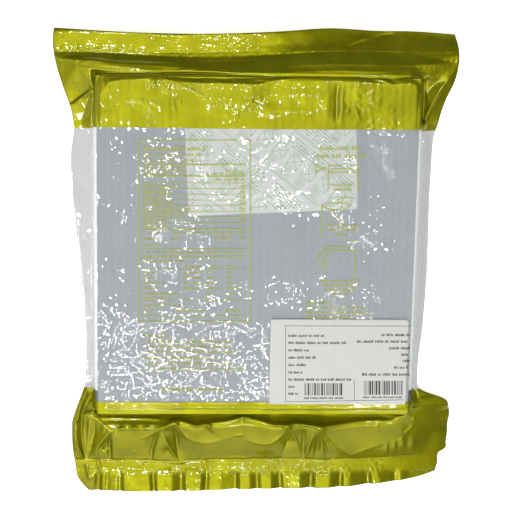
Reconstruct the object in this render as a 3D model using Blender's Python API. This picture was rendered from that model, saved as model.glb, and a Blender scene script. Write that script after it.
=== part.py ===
# Zip-seal pouch of nori sheets, lying on its front face with its back up.
# Metres, +Z up, X across the pouch, Y along it towards the zip.
# The origin is the centre of the flat face that the pouch rests on.

import math

import bmesh
import bpy
import numpy as np

MM = 0.001

# Clearances between pieces that touch
GAP = 0.30 * MM
SHEET_GAP = 0.14 * MM

# Nori: the standard cut of a whole sheet
SHEET_COUNT = 50
SHEET_WIDTH = 190.0 * MM
SHEET_LENGTH = 210.0 * MM
SHEET_THICKNESS = 0.18 * MM
SHEET_EDGE_POINTS = 5
SHEET_EDGE_RAGGED = 0.35 * MM
SHEET_SHIFT = 0.45 * MM
SHEET_TURN = math.radians(0.12)
SHEET_SEED = 7

# Corrugated backing board: two liners with a fluted medium between them
BOARD_WIDTH = 194.0 * MM
BOARD_LENGTH = 212.0 * MM
LINER_THICKNESS = 0.40 * MM
FLUTE_GAP = 0.15 * MM
FLUTE_HEIGHT = 1.90 * MM
FLUTE_PAPER = 0.25 * MM
FLUTE_PITCH = 4.5 * MM

# Film webs, and the pocket that they make round the stack
FILM_THICKNESS = 0.30 * MM
SIDE_WALL_SPREAD = 3.0 * MM
END_WALL_SPREAD = 3.2 * MM

# Zip header
ZIP_CENTRE_Y = 117.5 * MM
ZIP_LENGTH = 228.0 * MM
ZIP_FLANGE_WIDTH = 9.0 * MM
ZIP_FLANGE_THICKNESS = 0.25 * MM
ZIP_HALF_HEIGHT = 1.5 * MM
ZIP_SWELL_HALF_WIDTH = 114.5 * MM
ZIP_SWELL_SIDE_FALL = 3.5 * MM
ZIP_SWELL_TOP_Y = 122.3 * MM
TOP_SEAL_Y = 125.5 * MM
ZIP_SWELL_START = 2.0 * MM

# Sealed bottom flap
CREST_HEIGHT = 5.0 * MM
CREST_Y = -116.0 * MM
CREST_HALF_WIDTH = 84.0 * MM
CREST_SIDE_FALL = 26.0 * MM
SCALLOP_PITCH = 42.0 * MM
SCALLOP_DEPTH = 0.4
FLAP_SEAL_Y = -137.0 * MM
FLAP_SLOPE_LENGTH = 30.0 * MM
FLAP_SWAY_Y = -112.0 * MM
FLAP_DROP = 4.0 * MM

# Desiccant sachet, between the board and the back film
SACHET_WIDTH = 103.0 * MM
SACHET_LENGTH = 76.0 * MM
SACHET_CENTRE = (8.1 * MM, 61.2 * MM)
SACHET_TURN = math.radians(2.8)
SACHET_EDGE = 0.40 * MM
SACHET_DOME = 2.6 * MM
SACHET_LIFT_MARGIN = 1.0 * MM
SACHET_LIFT_FALL = 9.0 * MM

# Adhesive label on the back film
LABEL_WIDTH = 86.0 * MM
LABEL_LENGTH = 55.5 * MM
LABEL_THICKNESS = 0.20 * MM
LABEL_CENTRE = (52.6 * MM, -71.6 * MM)
LABEL_CORNER = 2.5 * MM

# Outline of the flat film, as (y, x) along each side and (x, y) along each end
LEFT_SIDE = (
    (-160.5, -103.0), (-154.0, -109.0), (-142.0, -112.0), (-118.0, -113.0), (-105.0, -110.5),
    (-91.0, -104.3), (-55.0, -104.5), (-19.0, -107.4), (11.0, -110.0), (53.0, -113.0),
    (80.0, -111.4), (98.0, -117.0), (112.0, -121.0), (129.0, -122.5), (134.0, -121.5),
)
RIGHT_SIDE = (
    (-148.0, 117.2), (-136.0, 119.0), (-125.0, 123.6), (-110.0, 124.2), (-99.0, 120.5),
    (-90.0, 104.0), (-80.0, 103.0), (-50.0, 106.0), (-24.0, 107.0), (46.0, 107.0),
    (72.0, 108.2), (92.0, 113.5), (105.0, 118.7), (126.0, 119.5), (131.0, 118.0),
)
TOP_EDGE = (
    (-121.0, 132.6), (-77.0, 130.2), (-38.0, 129.8), (13.0, 132.0), (43.0, 134.0),
    (72.0, 132.6), (91.0, 132.8), (118.0, 130.8),
)
BOTTOM_EDGE = (
    (-103.0, -160.6), (-55.0, -160.4), (0.0, -159.0), (58.0, -158.0), (85.0, -156.2),
    (105.0, -152.2), (117.0, -148.2),
)

# Heights, from the floor up
SHEET_PITCH = SHEET_THICKNESS + SHEET_GAP
STACK_BASE = FILM_THICKNESS + GAP
STACK_TOP = STACK_BASE + SHEET_COUNT * SHEET_PITCH - SHEET_GAP
INNER_LINER_BASE = STACK_TOP + GAP
FLUTE_BASE = INNER_LINER_BASE + LINER_THICKNESS + FLUTE_GAP
OUTER_LINER_BASE = FLUTE_BASE + FLUTE_HEIGHT + FLUTE_GAP
BOARD_TOP = OUTER_LINER_BASE + LINER_THICKNESS
BACK_FILM_MIDDLE = BOARD_TOP + GAP + FILM_THICKNESS / 2
FRONT_FILM_MIDDLE = FILM_THICKNESS / 2
SEAM_HEIGHT = (BACK_FILM_MIDDLE + FRONT_FILM_MIDDLE) / 2
SEAL_OFFSET = (FILM_THICKNESS + GAP) / 2
ZIP_OFFSET = ZIP_HALF_HEIGHT + GAP + FILM_THICKNESS / 2
SACHET_LIFT = SACHET_EDGE + SACHET_DOME + GAP


def clear_scene():
    for item in list(bpy.data.objects):
        bpy.data.objects.remove(item, do_unlink=True)


def make_material(name, colour, roughness, metallic=0.0):
    material = bpy.data.materials.new(name)
    material.use_nodes = True
    shader = material.node_tree.nodes["Principled BSDF"]
    shader.inputs["Base Color"].default_value = (*colour, 1.0)
    shader.inputs["Roughness"].default_value = roughness
    shader.inputs["Metallic"].default_value = metallic
    material.diffuse_color = (*colour, 1.0)
    return material


def add_object(name, bm, material, location=(0.0, 0.0, 0.0), turn=0.0):
    mesh = bpy.data.meshes.new(name)
    bm.to_mesh(mesh)
    bm.free()
    mesh.materials.append(material)
    item = bpy.data.objects.new(name, mesh)
    item.location = location
    item.rotation_euler = (0.0, 0.0, turn)
    bpy.context.scene.collection.objects.link(item)
    return item


def ease(value):
    # 0 below 0, 1 above 1, and 3t^2 - 2t^3 between them
    t = np.clip(value, 0.0, 1.0)
    return t * t * (3.0 - 2.0 * t)


def along(stations, position):
    # Height of the broken line through the stations, given in millimetres
    places = [place * MM for place, _ in stations]
    values = [value * MM for _, value in stations]
    return np.interp(position, places, values)


def pocket_share(x, y, flap_spread):
    # 1 over the board, easing to 0 at the walls' feet on each side
    across = np.maximum(np.abs(x) - BOARD_WIDTH / 2 - GAP, 0.0)
    above = np.maximum(y - BOARD_LENGTH / 2 - GAP, 0.0)
    below = np.maximum(-y - BOARD_LENGTH / 2 - GAP, 0.0)
    share = 1.0 - ease(across / SIDE_WALL_SPREAD)
    share = share * (1.0 - ease(above / END_WALL_SPREAD))
    return share * (1.0 - ease(below / flap_spread))


def seal_sway(y):
    # The flap's seal droops below the side seams
    return -FLAP_DROP * ease((FLAP_SWAY_Y - y) / FLAP_SLOPE_LENGTH)


def zip_swell(x, y):
    # The webs part round the zip, and close again at the side and top seals
    beside = 1.0 - ease((np.abs(x) - ZIP_SWELL_HALF_WIDTH) / ZIP_SWELL_SIDE_FALL)
    beyond = 1.0 - ease((y - ZIP_SWELL_TOP_Y) / (TOP_SEAL_Y - ZIP_SWELL_TOP_Y))
    started = ease((y - BOARD_LENGTH / 2) / ZIP_SWELL_START)
    return (ZIP_OFFSET - SEAL_OFFSET) * beside * beyond * started


def sachet_swell(x, y):
    # The back film lifts over the turned sachet and settles again round it
    dx = x - SACHET_CENTRE[0]
    dy = y - SACHET_CENTRE[1]
    across = np.abs(dx * math.cos(SACHET_TURN) + dy * math.sin(SACHET_TURN)) - SACHET_WIDTH / 2
    endwise = np.abs(dy * math.cos(SACHET_TURN) - dx * math.sin(SACHET_TURN)) - SACHET_LENGTH / 2
    fall_across = 1.0 - ease((across - SACHET_LIFT_MARGIN) / SACHET_LIFT_FALL)
    fall_endwise = 1.0 - ease((endwise - SACHET_LIFT_MARGIN) / SACHET_LIFT_FALL)
    return SACHET_LIFT * fall_across * fall_endwise


def crest_swell(x, y):
    # A puffed ridge just past the stack's lower edge, highest between shallow scallops
    reach = ease((-BOARD_LENGTH / 2 - y) / (-BOARD_LENGTH / 2 - CREST_Y))
    fall = 1.0 - ease((CREST_Y - y) / (CREST_Y - FLAP_SEAL_Y))
    beside = 1.0 - ease((np.abs(x) - CREST_HALF_WIDTH) / CREST_SIDE_FALL)
    scallop = 1.0 - SCALLOP_DEPTH * (0.5 - 0.5 * np.cos(2.0 * math.pi * x / SCALLOP_PITCH))
    return CREST_HEIGHT * reach * fall * beside * scallop


def back_film_height(x, y):
    pocket = pocket_share(x, y, END_WALL_SPREAD)
    top = (BACK_FILM_MIDDLE - SEAM_HEIGHT - SEAL_OFFSET) * pocket
    swell = np.maximum(zip_swell(x, y), crest_swell(x, y)) * (1.0 - pocket)
    return SEAM_HEIGHT + seal_sway(y) + SEAL_OFFSET + top + swell + sachet_swell(x, y)


def front_film_height(x, y):
    pocket = pocket_share(x, y, FLAP_SLOPE_LENGTH)
    sway = seal_sway(y)
    bottom = (SEAM_HEIGHT + sway - SEAL_OFFSET - FRONT_FILM_MIDDLE) * pocket
    return SEAM_HEIGHT + sway - SEAL_OFFSET - bottom - zip_swell(x, y) * (1.0 - pocket)


def film_columns():
    # Half of the columns: fixed places as far as the wall's foot, then shares of
    # the fin that is left between the foot and the outline
    wall = BOARD_WIDTH / 2 + GAP
    inside = [share * wall for share in (0.0, 0.12, 0.23, 0.34, 0.45, 0.56, 0.68, 0.8, 0.92, 0.98)]
    inside += [wall + share * SIDE_WALL_SPREAD for share in (0.0, 0.25, 0.5, 0.75, 1.0)]
    fin_shares = (0.35, 0.7, 1.0)
    return inside, fin_shares


def column_position(column, left, right):
    inside, fin_shares = film_columns()
    index = column - (len(inside) + len(fin_shares) - 1)
    step = abs(index)
    edge = -left if index < 0 else right
    if step < len(inside):
        place = inside[step]
    else:
        foot = inside[-1]
        place = foot + fin_shares[step - len(inside)] * (edge - foot)
    return place if index > 0 else -place


def film_rows():
    # Plan rows from the flap's sealed edge to the header's, before the ends are waved
    flap = [-160.0, -152.0, -144.0, -137.0, -131.0, -125.0, -120.0, -116.0, -112.5]
    walls = [-109.6, -108.8, -108.0, -107.2, -106.4, -103.0]
    stack = [-84.0, -56.0, -28.0, 0.0, 13.0, 20.0, 27.0, 44.0, 61.0, 78.0, 94.0, 100.0, 103.5]
    header = [106.4, 107.2, 108.0, 108.8, 109.6, 112.0, 117.5, 122.3, 123.9, 125.5, 132.0]
    return np.array(flap + walls + stack + header) * MM


def row_position(row, x, rows):
    # Rows past the stack stretch, so that the first and last follow the outline's ends
    y = rows[row]
    if y < CREST_Y:
        share = (y - CREST_Y) / (rows[0] - CREST_Y)
        return y + share * share * (along(BOTTOM_EDGE, x) - rows[0])
    if y > TOP_SEAL_Y:
        share = (y - TOP_SEAL_Y) / (rows[-1] - TOP_SEAL_Y)
        return y + share * (along(TOP_EDGE, x) - rows[-1])
    return y


def make_film(name, height, material):
    rows = film_rows()
    columns = 2 * sum(len(part) for part in film_columns()) - 1
    bm = bmesh.new()
    bmesh.ops.create_grid(bm, x_segments=columns - 1, y_segments=len(rows) - 1, size=0.5)
    for vertex in bm.verts:
        column = round((vertex.co.x + 0.5) * (columns - 1))
        row = round((vertex.co.y + 0.5) * (len(rows) - 1))
        rough_y = rows[row]
        x = column_position(column, along(LEFT_SIDE, rough_y), along(RIGHT_SIDE, rough_y))
        y = row_position(row, x, rows)
        vertex.co = (x, y, height(x, y))
    film = add_object(name, bm, material)
    shell = film.modifiers.new("thickness", "SOLIDIFY")
    shell.thickness = FILM_THICKNESS
    shell.offset = 0.0
    shell.use_even_offset = True
    return film


def extrude_outline(points, direction):
    # A closed outline swept along one direction into a solid
    bm = bmesh.new()
    corners = [bm.verts.new(point) for point in points]
    face = bm.faces.new(corners)
    swept = bmesh.ops.extrude_face_region(bm, geom=[face])
    moved = [item for item in swept["geom"] if isinstance(item, bmesh.types.BMVert)]
    bmesh.ops.translate(bm, vec=direction, verts=moved)
    bmesh.ops.recalc_face_normals(bm, faces=bm.faces)
    return bm


def make_zip_male(material):
    # Flange under the back film, with a stem and an arrow-shaped bulb
    flange = ZIP_FLANGE_WIDTH / 2
    upper = ZIP_HALF_HEIGHT
    lower = ZIP_HALF_HEIGHT - ZIP_FLANGE_THICKNESS
    stem = 0.3 * MM
    bulb = 0.65 * MM
    half = [(flange, upper), (flange, lower), (stem, lower), (stem, 0.1 * MM),
            (bulb, 0.0), (0.2 * MM, -0.55 * MM)]
    make_track("zip_track_male", half, material)


def make_zip_female(material):
    # Flange over the front film, with two hooked jaws that hold the bulb
    flange = ZIP_FLANGE_WIDTH / 2
    lower = -ZIP_HALF_HEIGHT
    upper = -ZIP_HALF_HEIGHT + ZIP_FLANGE_THICKNESS
    jaw_inside = 1.0 * MM
    jaw_outside = 1.45 * MM
    hook = 0.5 * MM
    half = [(jaw_inside, upper), (jaw_inside, 0.32 * MM), (hook, 0.35 * MM), (hook, 0.5 * MM),
            (jaw_inside, 0.8 * MM), (jaw_outside, 0.6 * MM), (jaw_outside, upper),
            (flange, upper), (flange, lower)]
    make_track("zip_track_female", half, material)


def make_track(name, half, material):
    right = [(-ZIP_LENGTH / 2, y, z) for y, z in half]
    left = [(-ZIP_LENGTH / 2, -y, z) for y, z in reversed(half)]
    bm = extrude_outline(right + left, (ZIP_LENGTH, 0.0, 0.0))
    add_object(name, bm, material, location=(0.0, ZIP_CENTRE_Y, SEAM_HEIGHT))


def sheet_outline(rng, z):
    # A rectangle whose cut edges wander a little in and out
    half_width = SHEET_WIDTH / 2 - SHEET_EDGE_RAGGED
    half_length = SHEET_LENGTH / 2 - SHEET_EDGE_RAGGED
    corners = [(-1, -1), (1, -1), (1, 1), (-1, 1)]
    points = []
    for start, end in zip(corners, corners[1:] + corners[:1]):
        for step in range(SHEET_EDGE_POINTS):
            share = step / SHEET_EDGE_POINTS
            x = (start[0] + share * (end[0] - start[0])) * half_width
            y = (start[1] + share * (end[1] - start[1])) * half_length
            wander = rng.uniform(-1.0, 1.0, 2) * SHEET_EDGE_RAGGED
            points.append((x + wander[0], y + wander[1], z))
    return points


def make_nori_sheets(material):
    rng = np.random.default_rng(SHEET_SEED)
    for index in range(SHEET_COUNT):
        bm = extrude_outline(sheet_outline(rng, 0.0), (0.0, 0.0, SHEET_THICKNESS))
        shift = rng.uniform(-SHEET_SHIFT, SHEET_SHIFT, 2)
        place = (shift[0], shift[1], STACK_BASE + index * SHEET_PITCH)
        turn = rng.uniform(-SHEET_TURN, SHEET_TURN)
        add_object(f"nori_sheet_{index + 1:02d}", bm, material, location=place, turn=turn)


def rectangle(width, length):
    return [(-width / 2, -length / 2, 0.0), (width / 2, -length / 2, 0.0),
            (width / 2, length / 2, 0.0), (-width / 2, length / 2, 0.0)]


def make_board(liner, medium):
    for name, base in (("board_inner_liner", INNER_LINER_BASE),
                       ("board_outer_liner", OUTER_LINER_BASE)):
        bm = extrude_outline(rectangle(BOARD_WIDTH, BOARD_LENGTH), (0.0, 0.0, LINER_THICKNESS))
        add_object(name, bm, liner, location=(0.0, 0.0, base))
    make_flutes(medium)


def make_flutes(material):
    # A paper ribbon folded up and down in flat-topped waves, running the board's length
    flutes = int(BOARD_WIDTH / FLUTE_PITCH)
    low = FLUTE_PAPER / 2
    high = FLUTE_HEIGHT - FLUTE_PAPER / 2
    wave = ((0.0, low), (0.15, low), (0.5, high), (0.65, high))
    start = -flutes * FLUTE_PITCH / 2
    bm = bmesh.new()
    profile = []
    for flute in range(flutes):
        for share, height in wave:
            x = start + (flute + share) * FLUTE_PITCH
            profile.append(bm.verts.new((x, -BOARD_LENGTH / 2, height)))
    edges = [bm.edges.new(pair) for pair in zip(profile, profile[1:])]
    swept = bmesh.ops.extrude_edge_only(bm, edges=edges)
    moved = [item for item in swept["geom"] if isinstance(item, bmesh.types.BMVert)]
    bmesh.ops.translate(bm, vec=(0.0, BOARD_LENGTH, 0.0), verts=moved)
    flute_item = add_object("board_flutes", bm, material, location=(0.0, 0.0, FLUTE_BASE))
    paper = flute_item.modifiers.new("paper", "SOLIDIFY")
    paper.thickness = FLUTE_PAPER
    paper.offset = 0.0


def make_sachet(material):
    # A pillow with a flat base and a domed top, thin at its sealed edges
    steps_across = 16
    steps_along = 12
    bm = bmesh.new()
    bmesh.ops.create_grid(bm, x_segments=steps_across, y_segments=steps_along, size=0.5)
    for vertex in bm.verts:
        u = 2.0 * vertex.co.x
        v = 2.0 * vertex.co.y
        vertex.co = (u * SACHET_WIDTH / 2, v * SACHET_LENGTH / 2, 0.0)
    base = list(bm.faces)
    swept = bmesh.ops.extrude_face_region(bm, geom=base)
    for item in swept["geom"]:
        if isinstance(item, bmesh.types.BMVert):
            u = item.co.x / (SACHET_WIDTH / 2)
            v = item.co.y / (SACHET_LENGTH / 2)
            item.co.z = SACHET_EDGE + SACHET_DOME * (1.0 - u ** 4) * (1.0 - v ** 4)
    bmesh.ops.recalc_face_normals(bm, faces=bm.faces)
    place = (*SACHET_CENTRE, BOARD_TOP + GAP)
    add_object("desiccant_sachet", bm, material, location=place, turn=SACHET_TURN)


def make_label(material):
    # A rectangle with rounded corners, stuck flat on the back film
    arc_steps = 4
    points = []
    for quarter in range(4):
        sign_x = (1, -1, -1, 1)[quarter]
        sign_y = (1, 1, -1, -1)[quarter]
        centre_x = sign_x * (LABEL_WIDTH / 2 - LABEL_CORNER)
        centre_y = sign_y * (LABEL_LENGTH / 2 - LABEL_CORNER)
        for step in range(arc_steps + 1):
            angle = (quarter + step / arc_steps) * math.pi / 2
            x = centre_x + LABEL_CORNER * math.cos(angle)
            y = centre_y + LABEL_CORNER * math.sin(angle)
            points.append((x, y, 0.0))
    bm = extrude_outline(points, (0.0, 0.0, LABEL_THICKNESS))
    base = BACK_FILM_MIDDLE + FILM_THICKNESS / 2 + GAP
    add_object("label_sticker", bm, material, location=(*LABEL_CENTRE, base))


def build():
    clear_scene()
    back = make_material("printed_film", (0.42, 0.42, 0.05), 0.25)
    front = make_material("front_film", (0.40, 0.41, 0.06), 0.25)
    track = make_material("zip_plastic", (0.80, 0.82, 0.80), 0.35)
    nori = make_material("nori", (0.018, 0.030, 0.014), 0.6)
    liner = make_material("board_paper", (0.40, 0.44, 0.46), 0.85)
    medium = make_material("flute_paper", (0.36, 0.33, 0.28), 0.9)
    sachet = make_material("sachet_paper", (0.76, 0.80, 0.78), 0.8)
    label = make_material("label_paper", (0.74, 0.74, 0.71), 0.6)
    make_film("pouch_back_film", back_film_height, back)
    make_film("pouch_front_film", front_film_height, front)
    make_zip_male(track)
    make_zip_female(track)
    make_nori_sheets(nori)
    make_board(liner, medium)
    make_sachet(sachet)
    make_label(label)


build()
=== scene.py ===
# Zip-seal pouch of nori sheets: its films, print, sachet, label, board, light and camera.
# Lengths are millimetres until a mesh is made. +Y points to the zip, +Z up.

import math

import bpy
import numpy as np
from mathutils import Euler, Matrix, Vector
from mathutils.geometry import delaunay_2d_cdt


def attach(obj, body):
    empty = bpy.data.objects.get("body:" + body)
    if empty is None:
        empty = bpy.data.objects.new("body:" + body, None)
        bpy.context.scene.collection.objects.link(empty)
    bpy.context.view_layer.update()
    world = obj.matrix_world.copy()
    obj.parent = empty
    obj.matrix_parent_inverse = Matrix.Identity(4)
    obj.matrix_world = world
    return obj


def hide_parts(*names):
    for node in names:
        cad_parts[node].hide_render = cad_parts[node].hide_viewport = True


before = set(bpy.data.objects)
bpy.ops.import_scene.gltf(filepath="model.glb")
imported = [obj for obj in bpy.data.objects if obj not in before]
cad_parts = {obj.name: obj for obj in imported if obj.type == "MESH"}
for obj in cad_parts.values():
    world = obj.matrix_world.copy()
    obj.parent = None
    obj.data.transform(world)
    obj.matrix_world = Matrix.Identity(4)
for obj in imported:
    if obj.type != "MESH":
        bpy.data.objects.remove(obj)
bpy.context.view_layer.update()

mm = 0.001
rng = np.random.default_rng(11)


# Numbers shared with the part's source

board = {"halfWidth": 97.0, "halfLength": 106.0, "top": 19.76, "flutePitch": 4.5}
film = {
    "gap": 0.3,
    "backMiddle": 20.21,  # over the board
    "frontMiddle": 0.15,  # on the floor
    "seam": 10.18,        # where the two webs meet
    "sealOffset": 0.12,   # half the distance between the welded webs
    "sideWall": 3.0,
    "endWall": 3.2,
    "finFall": 2.6,       # the right fin hangs
    "flapSlope": 30.0,
    "flapSwayY": -112.0,
    "flapDrop": 4.0,
    "crestY": -116.0,
    "lowRow": -160.0,
    "topSealY": 125.5,
    "highRow": 132.0,
}
zipper = {"halfHeight": 1.8, "halfWidth": 114.5, "sideFall": 3.5, "topY": 122.3, "start": 2.0}
sachet = {
    "width": 103.0, "length": 76.0, "centre": (8.1, 61.2), "turn": math.radians(2.8),
    "edge": 0.4, "dome": 1.1, "base": 20.06, "rim": 16.0, "fall": 5.0,
    "crimp": 0.03, "crimpPitch": 2.2, "crimpReach": 6.0, "granule": 0.06, "least": 0.3,
    "thinnest": 0.02,
}
label = {
    "width": 86.0, "length": 55.5, "centre": (52.6, -71.6), "leftCorner": 0.9, "rightCorner": 2.6,
    "base": 20.72, "thick": 0.12, "ink": 0.03,
    "meet": 7.0,   # the film rises to the label within this distance
    "press": 1.6,  # and isn't crumpled within this one, which starts a little under the label
    "under": 0.2,
    "clear": 0.05,
    "wave": 0.05, "fineWave": 0.03,
}

# Outline of the film: (y, x) along the sides, (x, y) along the ends
leftSide = (
    (-160.5, -103.0), (-154.0, -109.0), (-142.0, -112.0), (-118.0, -113.4), (-113.0, -113.2),
    (-108.6, -111.6), (-105.7, -110.0), (-102.7, -108.0), (-99.3, -106.2), (-94.0, -105.6),
    (-88.0, -105.2), (-55.0, -104.5), (-19.0, -107.4), (11.0, -110.0), (53.0, -113.0),
    (80.0, -111.4), (98.0, -117.0), (112.0, -121.0), (129.0, -122.5), (134.0, -121.5),
)
rightSide = (
    (-160.0, 118.6), (-150.0, 120.0), (-142.4, 120.3), (-140.8, 121.2), (-138.8, 123.8),
    (-131.0, 124.9), (-118.0, 125.3), (-106.3, 124.4), (-103.4, 122.2), (-102.4, 119.8),
    (-100.9, 113.4), (-98.9, 106.6), (-97.0, 104.6), (-91.0, 103.8), (-80.0, 103.6), (-50.0, 106.0),
    (-24.0, 107.0), (46.0, 107.0),
    (72.0, 108.2), (92.0, 113.5), (105.0, 118.7), (126.0, 119.5), (131.0, 118.0),
)
topEdge = (
    (-121.0, 133.2), (-77.0, 131.2), (-38.0, 130.6), (13.0, 132.4), (43.0, 134.3),
    (72.0, 133.0), (91.0, 133.0), (118.0, 131.4),
)
bottomEdge = (
    (-103.0, -162.0), (-84.0, -162.0), (-58.0, -161.7), (-32.0, -161.3), (6.0, -160.1),
    (49.0, -159.6), (70.0, -158.5), (83.0, -157.3), (96.0, -156.1), (109.0, -153.9),
    (119.0, -150.8),
)

# Edges of the clear window, and how they droop or rise where the print crosses the walls
printEdge = {
    "top": 75.0, "topDroop": 2.5, "bottom": -98.3, "leftRise": 6.6, "rightRise": 6.0,
    "reach": 13.0, "fade": 4.0,
}


# Camera that matches the photograph, a square of 512 pixels

view = {
    "place": (-53.3, 266.1, 1066.0), "turn": (-14.51, -2.65, 1.01),
    "lens": 124.46, "sensor": 36.0, "pixels": 512,
}


# Raster on which every height of the back film is worked out

raster = {"x0": -130.0, "x1": 130.0, "y0": -168.0, "y1": 140.0, "step": 0.4}
rasterX = np.arange(raster["x0"], raster["x1"], raster["step"])
rasterY = np.arange(raster["y0"], raster["y1"], raster["step"])
gridX, gridY = np.meshgrid(rasterX, rasterY)


def ease(value):
    # 0 below 0, 1 above 1, and 3t^2 - 2t^3 between them
    t = np.clip(value, 0.0, 1.0)
    return t * t * (3.0 - 2.0 * t)


def along(stations, position):
    # A smooth curve through the stations: cubic pieces whose slopes come from the neighbours
    places, values = np.array(stations).T
    slopes = np.gradient(values, places)
    position = np.clip(position, places[0], places[-1])
    index = np.clip(np.searchsorted(places, position) - 1, 0, len(places) - 2)
    gap = places[index + 1] - places[index]
    t = (position - places[index]) / gap
    rise = values[index] + (values[index + 1] - values[index]) * t * t * (3.0 - 2.0 * t)
    bend = slopes[index] * t * (1.0 - t) ** 2 - slopes[index + 1] * t * t * (1.0 - t)
    return rise + gap * bend


def softened(values, radius):
    # Gaussian blur on the raster, as a product of spectra: exp(-2 (pi r f)^2)
    fy = np.fft.fftfreq(values.shape[0], raster["step"])[:, None]
    fx = np.fft.rfftfreq(values.shape[1], raster["step"])[None, :]
    gain = np.exp(-2.0 * (math.pi * radius) ** 2 * (fx * fx + fy * fy))
    return np.fft.irfft2(np.fft.rfft2(values) * gain, s=values.shape)


def ripples(wavelength, spread=0.35, stretch=1.0):
    # White noise whose spectrum keeps one ring, at 1 / wavelength, and scaled to a deviation of one
    noise = rng.standard_normal(gridX.shape)
    fy = np.fft.fftfreq(noise.shape[0], raster["step"])[:, None]
    fx = np.fft.rfftfreq(noise.shape[1], raster["step"])[None, :] * stretch
    ring = np.hypot(fx, fy) * wavelength
    gain = np.exp(-((ring - 1.0) / spread) ** 2)
    shaped = np.fft.irfft2(np.fft.rfft2(noise) * gain, s=noise.shape)
    return shaped / shaped.std()


def blobs(places):
    # Largest of round bumps exp(-d^2 / r^2), each with its own centre, radius and strength, and
    # where a fifth number is given, that many times as long as wide
    total = np.zeros_like(gridX)
    for px, py, radius, strength, *ratio in places:
        x, y = fromPhoto(px, py, foldLevel(py))
        lengthwise = (gridY - y) / (ratio[0] if ratio else 1.0)
        total = np.maximum(total, strength * np.exp(-((gridX - x) ** 2 + lengthwise ** 2) / radius ** 2))
    return total


def netHeights(runs, fallback):
    # Flat triangles hung between creases: a triangulation that keeps every run of (x, y, z)
    # as an edge, and in each triangle the height a + u (b - a) + v (c - a)
    heights = fallback.copy()
    points = []
    edges = []
    for run in runs:
        edges += [(len(points) + step, len(points) + step + 1) for step in range(len(run) - 1)]
        points += list(run)
    flat = [Vector((point[0], point[1])) for point in points]
    same = 0.05  # places nearer to each other than this become one
    slack = 1e-6
    places, _, triangles, origins = delaunay_2d_cdt(flat, edges, [], 0, same)[:4]
    known = np.array(points)
    corners = []
    for place, origin in zip(places, origins):
        if origin:
            corners.append((place.x, place.y, max(points[index][2] for index in origin)))
        else:
            nearest = np.argsort(np.hypot(known[:, 0] - place.x, known[:, 1] - place.y))[:3]
            corners.append((place.x, place.y, float(known[nearest, 2].max())))
    corners = np.array(corners)
    step = raster["step"]
    for triangle in triangles:
        a, b, c = corners[list(triangle)]
        low = np.minimum(np.minimum(a, b), c)
        high = np.maximum(np.maximum(a, b), c)
        left = int((low[0] - raster["x0"]) / step)
        right = int((high[0] - raster["x0"]) / step)
        bottom = int((low[1] - raster["y0"]) / step)
        top = int((high[1] - raster["y0"]) / step)
        columns = slice(max(left, 0), right + 2)
        rows = slice(max(bottom, 0), top + 2)
        area = (b[0] - a[0]) * (c[1] - a[1]) - (c[0] - a[0]) * (b[1] - a[1])
        if abs(area) < slack:
            continue
        dx = gridX[rows, columns] - a[0]
        dy = gridY[rows, columns] - a[1]
        u = (dx * (c[1] - a[1]) - dy * (c[0] - a[0])) / area
        v = (dy * (b[0] - a[0]) - dx * (b[1] - a[1])) / area
        inside = (u >= -slack) & (v >= -slack) & (u + v <= 1.0 + slack)
        patch = heights[rows, columns]
        patch[inside] = (a[2] + u * (b[2] - a[2]) + v * (c[2] - a[2]))[inside]
    return heights


# Rough heights of the film by pixel row: zip and lip above the first row, stack between, flap below
foldLevels = {
    "stackRows": (76.0, 411.0), "zip": 16.0, "stack": 20.0,
    "flapRows": (411.0, 430.0, 460.0), "flap": (18.0, 13.0, 7.6),
    "taper": 0.25,  # share of a fold's length over which each end fades
}


def foldLevel(py):
    # The level at which a fold or a bump is placed: a step at each end of the stack
    first, last = foldLevels["stackRows"]
    if py < first:
        return foldLevels["zip"]
    if py < last:
        return foldLevels["stack"]
    return float(np.interp(py, foldLevels["flapRows"], foldLevels["flap"]))


def foldHeights(folds):
    # A ridge beside each path: height * (1 - d / width)^2, one width on its left and one on its
    # right, tapered to nothing at both ends of the path
    total = np.zeros_like(gridX)
    for path, height, leftWidth, rightWidth in folds:
        px, py = np.array(path, float).T
        nodes = np.stack(fromPhoto(px, py, foldLevel(py[0])), -1)
        lengths = np.hypot(*np.diff(nodes, axis=0).T)
        travelled = np.concatenate(([0.0], np.cumsum(lengths)))
        best = np.full_like(gridX, 1e9)
        side = np.zeros_like(gridX)
        place = np.zeros_like(gridX)
        for index, length in enumerate(lengths):
            start = nodes[index]
            way = (nodes[index + 1] - start) / length
            ahead = np.clip((gridX - start[0]) * way[0] + (gridY - start[1]) * way[1], 0.0, length)
            offX = gridX - start[0] - ahead * way[0]
            offY = gridY - start[1] - ahead * way[1]
            distance = np.hypot(offX, offY)
            nearer = distance < best
            best[nearer] = distance[nearer]
            side[nearer] = (way[0] * offY - way[1] * offX)[nearer]
            place[nearer] = (travelled[index] + ahead)[nearer]
        width = np.where(side > 0.0, leftWidth, rightWidth)
        share = place / travelled[-1]
        taper = ease(share / foldLevels["taper"]) * ease((1.0 - share) / foldLevels["taper"])
        total += height * taper * np.clip(1.0 - best / width, 0.0, 1.0) ** 2
    return total


def sample(values, x, y):
    # Bilinear height between the raster's points
    u = (np.asarray(x, float) - raster["x0"]) / raster["step"]
    v = (np.asarray(y, float) - raster["y0"]) / raster["step"]
    i = np.clip(u.astype(int), 0, values.shape[1] - 2)
    j = np.clip(v.astype(int), 0, values.shape[0] - 2)
    s = u - i
    t = v - j
    low = values[j, i] * (1.0 - s) + values[j, i + 1] * s
    high = values[j + 1, i] * (1.0 - s) + values[j + 1, i + 1] * s
    return low * (1.0 - t) + high * t


# Ways between the photograph's pixels and the pouch

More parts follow.
